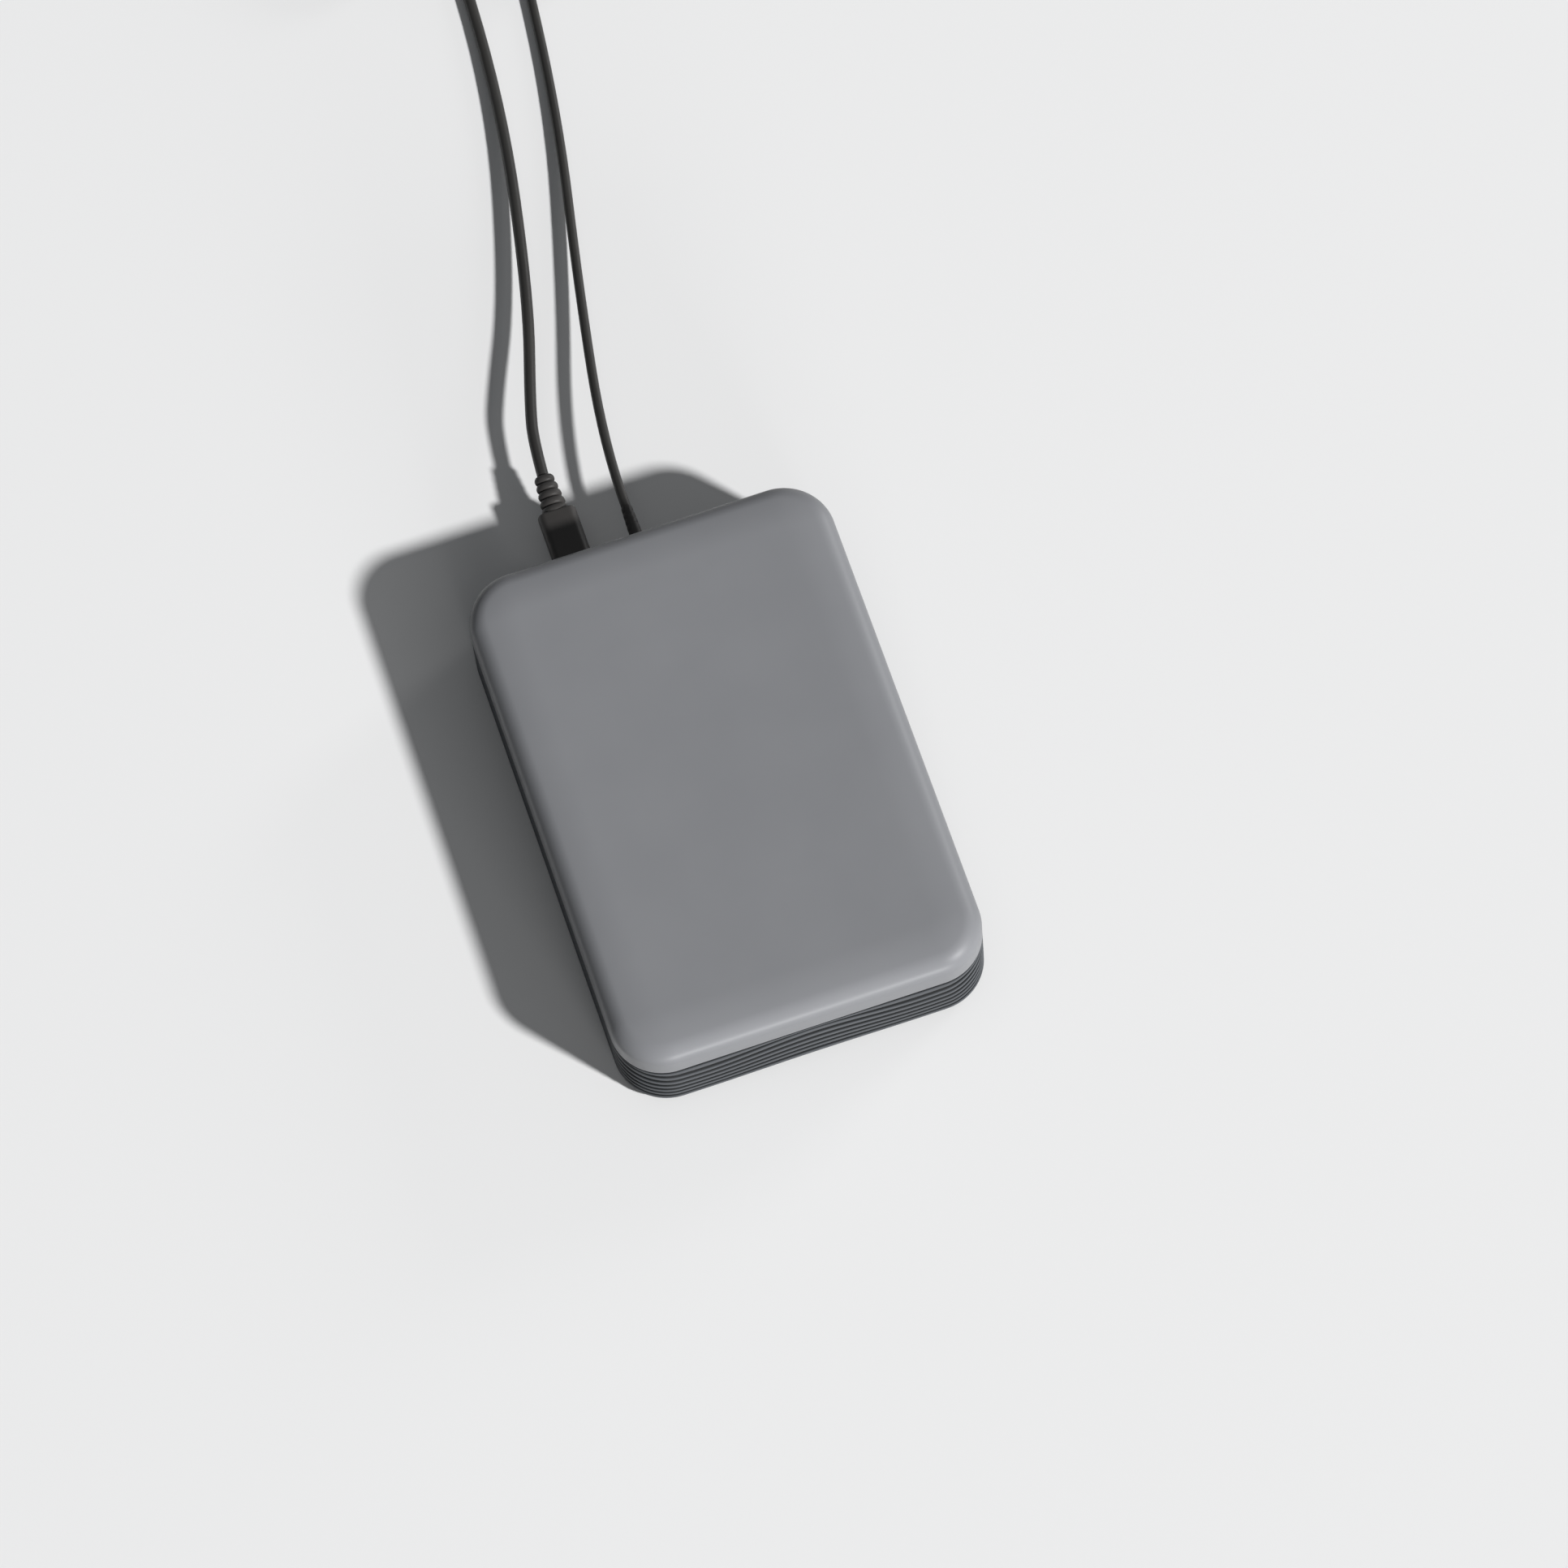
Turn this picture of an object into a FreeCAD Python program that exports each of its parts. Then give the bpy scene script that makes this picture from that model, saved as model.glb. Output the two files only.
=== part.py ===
"""Desktop external hard drive: a smooth cover over a wave-ridged tub, with a 3.5 inch disk inside.

Frame: millimetres, +Z up, +X across the width, +Y towards the rear wall with the ports.
The origin is on the surface that the drive stands on, under the middle of its housing.
"""
import FreeCAD, Part
import math
import os
from FreeCAD import Vector

# Housing
WIDTH = 114.0
LENGTH = 165.0
HEIGHT = 35.6
CORNER_R = 16.0
WALL_T = 2.2
FLOOR_T = 1.8
COVER_H = 12.6

# Cover: a straight band, then two tangent arcs up to the flat top;
# the hollow's slope runs between two pairs of inset and depth below the top
COVER_T = 2.0
REVEAL_H = 0.5
REVEAL_D = 0.6
EDGE_R = 6.5
EDGE_SLOPE = 9.0
CROWN_R = 60.7
HOLLOW_LINES = ((2.0, 7.0), (9.0, 2.0))
LIP_T = 1.0
LIP_H = 2.0
LIP_GAP = 0.15
HOOK_L = 8.0
HOOK_DROP = 9.0
HOOK_BARB = 0.5
HOOK_BARB_H = 2.0
HOOK_PLACES = (-38.0, 8.0)

# Wave ridges round the tub's wall
RIDGE_WAVES = 8
RIDGE_STEP = 16.5
CORNER_STEPS = 2
RIDGE_DEPTH = 1.1
RIDGE_FIRST = 4.9
RIDGE_PITCH = 2.35
RIDGE_PITCH_STEP = 0.35
RIDGE_SWING = 0.65
RIDGE_SWING_STEP = 0.25
CREST_SHARE = 0.4
RIM_TUCK = 1.4

# Feet
FOOT_L = 16.0
FOOT_W = 9.0
FOOT_H = 1.2
FOOT_SINK = 0.8
FOOT_EDGE = 0.5
FOOT_IN_X = 15.0
FOOT_IN_Y = 18.0

# Vent slots in the floor
VENT_COUNT = 6
VENT_L = 26.0
VENT_W = 2.0
VENT_PITCH = 6.0

# Disk unit, the sealed 3.5 inch form, which fills the housing but for these clearances
DISK_SIDE_GAP = 4.0
DISK_FRONT_GAP = 2.3
DISK_REAR_GAP = 11.3
DISK_TOP_GAP = 3.3
DISK_LIFT = 1.2
DISK_R = 5.0
LID_H = 6.1
LID_T = 1.2
LID_STEP = 5.0
LID_R = 7.0

# Disk circuit board and connector
BOARD_T = 1.2
BOARD_IN = 3.8
BOARD_L = 58.0
BOARD_REAR = 5.0
BOARD_STAND = 1.0
BOARD_SLACK = 1.0
RECESS_H = 3.4
BOSS_W = 6.0
CHIP_T = 0.8
CHIP_PLACES = ((-18.0, 30.0, 16.0), (16.0, 36.0, 12.0), (8.0, 16.0, 9.0))
CONNECTOR_IN = 25.8
CONNECTOR_W = 42.0
CONNECTOR_H = 2.8
CONNECTOR_FRONT = 11.0
CONNECTOR_REAR = 2.5
NOTCH_SLACK = 0.6

# Rubber mounts, at the disk's usual fixing places measured from its rear and its front
MOUNT_REAR = 28.5
MOUNT_FRONT = 16.9
MOUNT_L = 10.0
MOUNT_H = 15.0
MOUNT_RIB_T = 1.6
MOUNT_RIB_H = 10.0
MOUNT_RIB_L = 3.4
MOUNT_GAP = 0.15
MOUNT_EDGE = 1.2

# Bridge board with the two ports
BRIDGE_T = 1.6
BRIDGE_Z = 8.0
BRIDGE_IN = 13.0
BRIDGE_X1 = 13.0
BRIDGE_GAP = 0.8
PORT_STAND = 0.5
POST_W = 5.0
POST_IN = 2.8
SOCKET_W = 37.0
SOCKET_D = 7.5
SOCKET_DROP = 3.4
USB_X = -19.2
USB_W = 8.95
USB_H = 3.2
USB_D = 7.35
USB_SKIN = 0.25
DC_X = 1.2
DC_W = 8.0
DC_H = 6.8
DC_D = 9.8
DC_BORE_R = 2.15
DC_BORE_D = 8.6
DC_PIN_R = 0.65
PANEL_EDGE = 5.5
PANEL_Z0 = 5.5
PANEL_Z1 = 18.6
PANEL_R = 3.0
PANEL_SINK = 0.3

# Data plug in its port
PLUG_W = 12.0
PLUG_H = 6.5
PLUG_OUT = 23.3
PLUG_GAP = 0.3
PLUG_R = 2.6
SHELL_W = 8.25
SHELL_H = 2.4
SHELL_L = 6.6
SHELL_SKIN = 0.3
RELIEF_L = 12.9
RELIEF_R0 = 3.2
RELIEF_R1 = 2.2
FACET_SIDES = 14

# Power plug in its jack
POWER_PLUG_R = 3.4
POWER_PLUG_GAP = 0.5
POWER_PLUG_OUT = 5.0
POWER_RELIEF_L = 12.0
POWER_RELIEF_R0 = 2.2
POWER_RELIEF_R1 = 1.7
BARREL_R = 2.0
BARREL_BORE_R = 0.85
BARREL_L = 8.2

# Cords: the routes lie as chosen, from the plug to the coil, with Y measured from the rear wall,
# and each cord leaves its coil at a place given from the coil's middle
USB_CORD_D = 3.6
USB_ROUTE = (
    (-19.2, 36.2, 11.2), (-18.0, 52.5, 10.7), (-4.5, 97.5, 6.2), (8.5, 167.5, 2.0), (11.6, 241.9, 1.9),
)
USB_COIL_PLACE = (-12.0, 248.0)
USB_COIL_R = 20.0
USB_LEAVE = (23.6, 6.6)
USB_COIL_SIDE = 10.8
POWER_CORD_D = 3.0
POWER_ROUTE = (
    (1.2, 17.0, 13.0), (1.2, 39.5, 11.0), (11.0, 95.5, 4.6), (23.8, 157.5, 1.7), (31.0, 222.5, 1.6),
)
POWER_COIL_PLACE = (52.0, 226.5)
POWER_COIL_R = 16.5
POWER_LEAVE = (-21.0, 5.5)
POWER_COIL_SIDE = 12.0
TIE_T = 0.8
TIE_W = 6.0
ARC_SHARE = 0.45

# Host plug and mains adapter at the far ends
HOST_W = 15.6
HOST_H = 8.0
HOST_L = 26.0
HOST_START = 32.0
HOST_TAIL = 10.0
HOST_TAIL_R0 = 2.8
HOST_TAIL_R1 = 2.2
HOST_SHELL_W = 12.0
HOST_SHELL_H = 4.5
HOST_SHELL_L = 18.7
HOST_SHELL_SKIN = 0.3
HOST_EDGE = 1.2
ADAPTER_L = 46.0
ADAPTER_W = 42.0
ADAPTER_H = 28.0
ADAPTER_R = 4.0
ADAPTER_START = 30.0
ADAPTER_SHIFT = 14.0
ADAPTER_TAIL = 10.0
ADAPTER_TAIL_Z = 8.5
ADAPTER_TAIL_R0 = 2.4
ADAPTER_TAIL_R1 = 1.8
BLADE_L = 16.0
BLADE_W = 6.3
BLADE_T = 1.5
BLADE_SPREAD = 12.7

# Levels and places worked out from the sizes above
BASE_Z = FOOT_H
FLOOR_Z = BASE_Z + FLOOR_T
FRONT = -LENGTH / 2
REAR = LENGTH / 2
SIDE = WIDTH / 2
PART_Z = HEIGHT - COVER_H
WALL_X = SIDE - WALL_T
WALL_Y = REAR - WALL_T
DISK_W = 2 * (WALL_X - DISK_SIDE_GAP)
DISK_FRONT = FRONT + WALL_T + DISK_FRONT_GAP
DISK_REAR = WALL_Y - DISK_REAR_GAP
DISK_Z = FLOOR_Z + DISK_LIFT
DISK_TOP = HEIGHT - COVER_T - DISK_TOP_GAP
DECK_Z = DISK_TOP - LID_H
BOARD_W = DISK_W - 2 * BOARD_IN
CONNECTOR_X = CONNECTOR_IN - DISK_W / 2
BRIDGE_X0 = BRIDGE_IN - SIDE
RECESS_Z = DISK_Z + RECESS_H
BOARD_TOP = RECESS_Z - BOARD_STAND
BRIDGE_TOP = BRIDGE_Z + BRIDGE_T
PORT_Y = WALL_Y - PORT_STAND
USB_Z = BRIDGE_TOP + USB_H / 2
DC_Z = BRIDGE_TOP + DC_H / 2
SOCKET_Y = DISK_REAR - CONNECTOR_REAR
PLUG_END = REAR + PLUG_OUT
POWER_PLUG_END = REAR + POWER_PLUG_OUT
USB_COIL = (USB_COIL_PLACE[0], REAR + USB_COIL_PLACE[1])
POWER_COIL = (POWER_COIL_PLACE[0], REAR + POWER_COIL_PLACE[1])
HOST_X = USB_COIL[0] + USB_LEAVE[0]
HOST_Y = USB_COIL[1] + HOST_START
HOST_Z = HOST_H / 2
ADAPTER_CORD_X = POWER_COIL[0] + POWER_LEAVE[0]
ADAPTER_X = ADAPTER_CORD_X + ADAPTER_SHIFT
ADAPTER_Y = POWER_COIL[1] + ADAPTER_START


def block(x0, x1, y0, y1, z0, z1):
    """A box between two corners."""
    return Part.makeBox(x1 - x0, y1 - y0, z1 - z0, Vector(x0, y0, z0))


def bar(x, z, y0, y1, radius):
    """A cylinder along Y."""
    return Part.makeCylinder(radius, y1 - y0, Vector(x, y0, z), Vector(0, 1, 0))


def round_plan(half_w, y0, y1, radius, z):
    """A level rounded rectangle, as a closed wire of four lines and four arcs."""
    k = radius * (1 - math.sqrt(0.5))
    x0, x1 = -half_w, half_w
    r = radius
    line = Part.LineSegment
    corner = Part.Arc
    edges = [
        line(Vector(x0 + r, y0, z), Vector(x1 - r, y0, z)),
        corner(Vector(x1 - r, y0, z), Vector(x1 - k, y0 + k, z), Vector(x1, y0 + r, z)),
        line(Vector(x1, y0 + r, z), Vector(x1, y1 - r, z)),
        corner(Vector(x1, y1 - r, z), Vector(x1 - k, y1 - k, z), Vector(x1 - r, y1, z)),
        line(Vector(x1 - r, y1, z), Vector(x0 + r, y1, z)),
        corner(Vector(x0 + r, y1, z), Vector(x0 + k, y1 - k, z), Vector(x0, y1 - r, z)),
        line(Vector(x0, y1 - r, z), Vector(x0, y0 + r, z)),
        corner(Vector(x0, y0 + r, z), Vector(x0 + k, y0 + k, z), Vector(x0 + r, y0, z)),
    ]
    return Part.Wire([edge.toShape() for edge in edges])


def round_slab(half_w, y0, y1, radius, z0, z1):
    """A rounded rectangle raised from z0 to z1."""
    return Part.Face(round_plan(half_w, y0, y1, radius, z0)).extrude(Vector(0, 0, z1 - z0))


def housing_slab(inset, z0, z1):
    """The housing's outline, drawn in by inset, raised from z0 to z1."""
    return round_slab(SIDE - inset, FRONT + inset, REAR - inset, CORNER_R - inset, z0, z1)


def round_bar(x, z, width, height, radius, y0, y1):
    """A rounded rectangle section run along Y."""
    slab = round_slab(width / 2, -height / 2, height / 2, radius, 0, y1 - y0)
    slab.rotate(Vector(0, 0, 0), Vector(1, 0, 0), -90)
    slab.translate(Vector(x, y0, z))
    return slab


def box_bar(x, z, width, height, y0, y1):
    """A box section run along Y."""
    return block(x - width / 2, x + width / 2, y0, y1, z - height / 2, z + height / 2)


def ring_plan(centre, normal, side_way, radius):
    """A closed even-sided outline round a centre, square to normal."""
    points = []
    up = normal.cross(side_way)
    for index in range(FACET_SIDES + 1):
        turn = 2 * math.pi * index / FACET_SIDES
        points.append(centre + side_way * (radius * math.cos(turn)) + up * (radius * math.sin(turn)))
    return Part.makePolygon(points)


def taper(x, z, y, length, radius, end_radius):
    """A many-sided strain relief along Y that narrows towards the cord."""
    normal = Vector(0, 1, 0)
    side_way = Vector(1, 0, 0)
    near = ring_plan(Vector(x, y, z), normal, side_way, radius)
    far = ring_plan(Vector(x, y + length, z), normal, side_way, end_radius)
    faces = [Part.Face(near), Part.Face(far)]
    for a, b in zip(near.Edges, far.Edges):
        corners = [a.Vertexes[0].Point, a.Vertexes[1].Point, b.Vertexes[1].Point, b.Vertexes[0].Point]
        faces.append(Part.Face(Part.makePolygon(corners + corners[:1])))
    shell = Part.makeShell(faces)
    shell.sewShape()
    solid = Part.makeSolid(shell)
    if solid.Volume < 0:
        solid.reverse()
    return solid


def prism(x, z, y0, y1, radius):
    """A many-sided bar along Y."""
    plan = ring_plan(Vector(x, y0, z), Vector(0, 1, 0), Vector(1, 0, 0), radius)
    return Part.Face(plan).extrude(Vector(0, y1 - y0, 0))


def outline_stretches():
    """Sides and corners of the housing's outline in turn: length, start, facing, bent or straight."""
    flat_x = SIDE - CORNER_R
    flat_y = REAR - CORNER_R
    quarter = CORNER_R * math.pi / 2
    return (
        (2 * flat_x, -flat_x, FRONT, -90, False), (quarter, flat_x, -flat_y, -90, True),
        (2 * flat_y, SIDE, -flat_y, 0, False), (quarter, flat_x, flat_y, 0, True),
        (2 * flat_x, flat_x, REAR, 90, False), (quarter, -flat_x, flat_y, 90, True),
        (2 * flat_y, -SIDE, flat_y, 180, False), (quarter, -flat_x, -flat_y, 180, True),
    )


def wave_line(mean, swing, inset):
    """A closed line round the wall whose height swings in even waves, with a peak in the front's middle."""
    stretches = outline_stretches()
    perimeter = sum(stretch[0] for stretch in stretches)
    rate = 2 * math.pi * RIDGE_WAVES / perimeter
    gone = -stretches[0][0] / 2
    edges = []
    for length, x, y, facing, bent in stretches:
        steps = CORNER_STEPS if bent else max(2, round(length / RIDGE_STEP))
        points = []
        slopes = []
        for index in range(steps + 1):
            run = length * index / steps
            turn = math.radians(facing) + (run / CORNER_R if bent else 0)
            normal = Vector(math.cos(turn), math.sin(turn), 0)
            along = Vector(-math.sin(turn), math.cos(turn), 0)
            place = Vector(x, y, 0) + (normal * CORNER_R if bent else along * run)
            phase = rate * (gone + run)
            points.append(place - normal * inset + Vector(0, 0, mean + swing * math.cos(phase)))
            pace = 1 - inset / CORNER_R if bent else 1
            slopes.append(along * pace - Vector(0, 0, swing * rate * math.sin(phase)))
        curve = Part.BSplineCurve()
        curve.interpolate(Points=points, InitialTangent=slopes[0], FinalTangent=slopes[-1])
        edges.append(curve.toShape())
        gone += length
    return edges


def ridged_block():
    """The tub's outside: stacked wave ridges up to a level groove at the parting line."""
    grooves = [(BASE_Z, 0.0)]
    mean, swing, pitch = RIDGE_FIRST, RIDGE_SWING, RIDGE_PITCH
    while mean + swing < PART_Z:
        grooves.append((mean, swing))
        mean += pitch
        pitch += RIDGE_PITCH_STEP
        swing += RIDGE_SWING_STEP
    grooves.append((PART_Z, 0.0))
    lines = [wave_line(BASE_Z, 0, RIM_TUCK)]
    for low, high in zip(grooves, grooves[1:]):
        crest, sway = (a + CREST_SHARE * (b - a) for a, b in zip(low, high))
        lines.append(wave_line(crest, sway, 0))
        lines.append(wave_line(high[0], high[1], RIDGE_DEPTH))
    faces = []
    for low, high in zip(lines, lines[1:]):
        faces.extend(Part.makeRuledSurface(a, b) for a, b in zip(low, high))
    faces.extend(Part.Face(Part.Wire(line)) for line in (lines[0], lines[-1]))
    shell = Part.makeShell(faces)
    shell.sewShape()
    solid = Part.makeSolid(shell)
    if solid.Volume < 0:
        solid.reverse()
    return solid


def foot_places():
    """Middle of each foot by name."""
    x = SIDE - FOOT_IN_X
    y = REAR - FOOT_IN_Y
    return {"front_left": (-x, -y), "front_right": (x, -y), "rear_left": (-x, y), "rear_right": (x, y)}


def mount_places():
    """Side and place along Y of each disk mount by name."""
    rear = DISK_REAR - MOUNT_REAR
    front = DISK_FRONT + MOUNT_FRONT
    return {"front_left": (-1, front), "front_right": (1, front), "rear_left": (-1, rear),
            "rear_right": (1, rear)}


def bridge_posts():
    """Middles of the two posts that carry the bridge board."""
    y = PORT_Y - POST_IN
    return [(BRIDGE_X0 + POST_IN, y), (BRIDGE_X1 - POST_IN, y)]


def mirrored(side, x0, x1, y0, y1, z0, z1):
    """A box given for the right side, moved to the side that is asked for."""
    low, high = sorted((side * x0, side * x1))
    return block(low, high, y0, y1, z0, z1)


def base_tub():
    """Lower shell: ridged wall, floor, port panel, mount ribs, posts, foot wells and vents."""
    tub = ridged_block()
    panel_w = DC_X - USB_X + PLUG_W + 2 * PANEL_EDGE
    panel_x = (USB_X + DC_X) / 2
    panel_z = (PANEL_Z0 + PANEL_Z1) / 2
    panel = round_bar(panel_x, panel_z, panel_w, PANEL_Z1 - PANEL_Z0, PANEL_R,
                      WALL_Y - WALL_T / 2, REAR - PANEL_SINK)
    tub = tub.fuse(panel)
    tub = tub.cut(housing_slab(WALL_T, FLOOR_Z, PART_Z + FLOOR_T))
    adds = []
    cuts = []
    for side, y in mount_places().values():
        for way in (-1, 1):
            rib_y = y + way * (MOUNT_L / 2 + MOUNT_GAP + MOUNT_RIB_T / 2)
            adds.append(mirrored(side, WALL_X - MOUNT_RIB_L, WALL_X + WALL_T / 2, rib_y - MOUNT_RIB_T / 2,
                                 rib_y + MOUNT_RIB_T / 2, FLOOR_Z - FLOOR_T / 2, FLOOR_Z + MOUNT_RIB_H))
    for x, y in bridge_posts():
        half = POST_W / 2
        adds.append(block(x - half, x + half, y - half, y + half, FLOOR_Z - FLOOR_T / 2, BRIDGE_Z))
    for x, y in foot_places().values():
        cuts.append(block(x - FOOT_W / 2, x + FOOT_W / 2, y - FOOT_L / 2, y + FOOT_L / 2, BASE_Z,
                          BASE_Z + FOOT_SINK))
    for index in range(VENT_COUNT):
        y = (index - (VENT_COUNT - 1) / 2) * VENT_PITCH
        cuts.append(block(-VENT_L / 2, VENT_L / 2, y - VENT_W / 2, y + VENT_W / 2, BASE_Z, FLOOR_Z))
    for side in (-1, 1):
        for y in HOOK_PLACES:
            half = HOOK_L / 2 + HOOK_BARB
            z = PART_Z - HOOK_DROP
            cuts.append(mirrored(side, WALL_X, WALL_X + HOOK_BARB + LIP_GAP, y - half, y + half,
                                 z - LIP_GAP, z + HOOK_BARB_H + LIP_GAP))
    cuts.append(round_bar(USB_X, USB_Z, PLUG_W + 2 * PLUG_GAP, PLUG_H + 2 * PLUG_GAP,
                          PLUG_R + PLUG_GAP, WALL_Y - WALL_T, REAR + WALL_T))
    cuts.append(bar(DC_X, DC_Z, WALL_Y - WALL_T, REAR + WALL_T, POWER_PLUG_R + POWER_PLUG_GAP))
    return tub.fuse(adds).cut(cuts)


def cover_profile(z0):
    """Half section of the cover at a corner, closed on the corner's axis."""
    slopes = [math.radians(angle) for angle in (90, EDGE_SLOPE, 0)]
    radii = (EDGE_R, CROWN_R)
    rise = sum(r * (math.cos(b) - math.cos(a)) for r, a, b in zip(radii, slopes, slopes[1:]))
    start = Vector(CORNER_R, 0, HEIGHT - rise)
    low = Vector(CORNER_R, 0, z0)
    edges = [Part.LineSegment(low, start)]
    for radius, a, b in zip(radii, slopes, slopes[1:]):
        turns = ((a + b) / 2, b)
        middle, end = (start + Vector(radius * (math.sin(turn) - math.sin(a)), 0,
                                      radius * (math.cos(turn) - math.cos(a))) for turn in turns)
        edges.append(Part.Arc(start, middle, end))
        start = end
    edges.append(Part.LineSegment(start, Vector(0, 0, start.z)))
    edges.append(Part.LineSegment(Vector(0, 0, start.z), Vector(0, 0, z0)))
    edges.append(Part.LineSegment(Vector(0, 0, z0), low))
    return Part.Face(Part.Wire([edge.toShape() for edge in edges]))


def dome(z0):
    """The cover's section carried round the housing: turned at the corners, straight along the sides."""
    section = cover_profile(z0)
    flat_x = SIDE - CORNER_R
    flat_y = REAR - CORNER_R
    axis = Vector(0, 0, 1)
    turned = section.revolve(Vector(0, 0, 0), axis, 90)
    solids = [block(-flat_x, flat_x, -flat_y, flat_y, z0, HEIGHT)]
    places = ((flat_x, flat_y), (-flat_x, flat_y), (-flat_x, -flat_y), (flat_x, -flat_y))
    for index, (x, y) in enumerate(places):
        half = flat_x if index % 2 else flat_y
        for shape in (turned, section.extrude(Vector(0, -2 * half, 0))):
            piece = shape.copy()
            piece.rotate(Vector(0, 0, 0), axis, 90 * index)
            piece.translate(Vector(x, y, 0))
            solids.append(piece)
    return solids[0].fuse(solids[1:]).removeSplitter()


def cover_hollow():
    """The space under the cover, drawn in towards the top in slopes."""
    lines = [(HOLLOW_LINES[0][0], PART_Z)]
    lines.extend((inset, HEIGHT - depth) for inset, depth in HOLLOW_LINES)
    plans = [round_plan(SIDE - inset, FRONT + inset, REAR - inset, CORNER_R - inset, z) for inset, z in lines]
    return Part.makeLoft(plans, True, True)


def top_cover():
    """Upper shell: straight band, soft shoulder, inner lip and snap hooks."""
    cover = dome(PART_Z).cut(cover_hollow())
    reveal = housing_slab(0, PART_Z, PART_Z + REVEAL_H).cut(housing_slab(REVEAL_D, PART_Z, PART_Z + REVEAL_H))
    cover = cover.cut(reveal)
    out = WALL_T + LIP_GAP
    reach = out + LIP_T
    flat_x = SIDE - CORNER_R
    flat_y = REAR - CORNER_R
    low = PART_Z - LIP_H
    lips = []
    for side in (-1, 1):
        for z0, z1, edge in ((low, PART_Z, out), (PART_Z, PART_Z + LIP_H, COVER_T / 2)):
            lips.append(mirrored(side, SIDE - reach, SIDE - edge, -flat_y, flat_y, z0, z1))
            y0, y1 = sorted((side * (REAR - reach), side * (REAR - edge)))
            lips.append(block(-flat_x, flat_x, y0, y1, z0, z1))
        for y in HOOK_PLACES:
            foot = PART_Z - HOOK_DROP
            y0 = y - HOOK_L / 2
            y1 = y + HOOK_L / 2
            lips.append(mirrored(side, SIDE - reach, SIDE - out, y0, y1, foot, low))
            lips.append(mirrored(side, SIDE - out, WALL_X + HOOK_BARB, y0, y1, foot, foot + HOOK_BARB_H))
    return cover.fuse(lips).removeSplitter()


def rubber_foot(x, y):
    """An oblong foot, sunk into the floor, with a bevelled edge below."""
    foot = block(x - FOOT_W / 2, x + FOOT_W / 2, y - FOOT_L / 2, y + FOOT_L / 2, 0, FOOT_H + FOOT_SINK)
    low = [edge for edge in foot.Edges if edge.BoundBox.ZMax < FOOT_EDGE]
    return foot.makeChamfer(FOOT_EDGE, low)


def disk_slab(inset, radius, z0, z1):
    """The disk unit's outline, drawn in by inset, raised from z0 to z1."""
    return round_slab(DISK_W / 2 - inset, DISK_FRONT + inset, DISK_REAR - inset, radius, z0, z1)


def board_places():
    """Middles of the four bosses that carry the disk's circuit board."""
    x = BOARD_W / 2 - BOSS_W / 2
    rear = DISK_REAR - BOARD_REAR - CONNECTOR_FRONT
    front = DISK_REAR - BOARD_REAR - BOARD_L + BOSS_W / 2
    return [(-x, front), (x, front), (-x, rear), (x, rear)]


def disk_unit():
    """Sealed disk unit: cast body with a pressed lid above and a board recess below."""
    body = disk_slab(0, DISK_R, DISK_Z, DECK_Z)
    pan = disk_slab(LID_STEP, LID_R, DECK_Z, DISK_TOP)
    rim = [edge for edge in pan.Edges if edge.BoundBox.ZMin > DECK_Z]
    body = body.fuse(pan.makeChamfer(LID_T, rim))
    half = BOARD_W / 2 + BOARD_SLACK
    y1 = DISK_REAR - BOARD_REAR + BOARD_SLACK
    y0 = DISK_REAR - BOARD_REAR - BOARD_L - BOARD_SLACK
    notch_half = CONNECTOR_W / 2 + NOTCH_SLACK
    cuts = [
        block(-half, half, y0, y1, DISK_Z, RECESS_Z),
        block(CONNECTOR_X - notch_half, CONNECTOR_X + notch_half, DISK_REAR - CONNECTOR_FRONT - NOTCH_SLACK,
              DISK_REAR, DISK_Z, BOARD_TOP + CONNECTOR_H + NOTCH_SLACK),
    ]
    arm = BOSS_W / 2
    bosses = [block(x - arm, x + arm, y - arm, y + arm, BOARD_TOP, RECESS_Z) for x, y in board_places()]
    return body.cut(cuts).fuse(bosses).removeSplitter()


def disk_board():
    """Circuit board under the disk unit."""
    y1 = DISK_REAR - BOARD_REAR
    return block(-BOARD_W / 2, BOARD_W / 2, y1 - BOARD_L, y1, BOARD_TOP - BOARD_T, BOARD_TOP)


def board_chips():
    """Main chips on the board, on the side that faces the disk unit: place and size of each."""
    chips = []
    for x, back, size in CHIP_PLACES:
        y = DISK_REAR - BOARD_REAR - back
        half = size / 2
        chips.append(block(x - half, x + half, y - half, y + half, BOARD_TOP, BOARD_TOP + CHIP_T))
    return Part.makeCompound(chips)


def disk_connector():
    """Data and power connector at the disk's rear edge."""
    half = CONNECTOR_W / 2
    return block(CONNECTOR_X - half, CONNECTOR_X + half, DISK_REAR - CONNECTOR_FRONT, SOCKET_Y, BOARD_TOP,
                 BOARD_TOP + CONNECTOR_H)


def rubber_mount(side, y):
    """Rubber block that holds the disk's side off the tub's wall, with a bevel at its top edges."""
    shape = mirrored(side, DISK_W / 2, WALL_X, y - MOUNT_L / 2, y + MOUNT_L / 2, FLOOR_Z, FLOOR_Z + MOUNT_H)
    top = [edge for edge in shape.Edges
           if edge.BoundBox.ZMin > FLOOR_Z and edge.BoundBox.XLength > MOUNT_EDGE]
    return shape.makeChamfer(MOUNT_EDGE, top)


def bridge_board():
    """Board that joins the disk's connector to the two ports."""
    return block(BRIDGE_X0, BRIDGE_X1, DISK_REAR + BRIDGE_GAP, PORT_Y, BRIDGE_Z, BRIDGE_TOP)


def bridge_socket():
    """Socket under the bridge board that mates with the disk's connector."""
    half = SOCKET_W / 2
    return block(CONNECTOR_X - half, CONNECTOR_X + half, SOCKET_Y, SOCKET_Y + SOCKET_D, BRIDGE_Z - SOCKET_DROP,
                 BRIDGE_Z)


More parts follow.
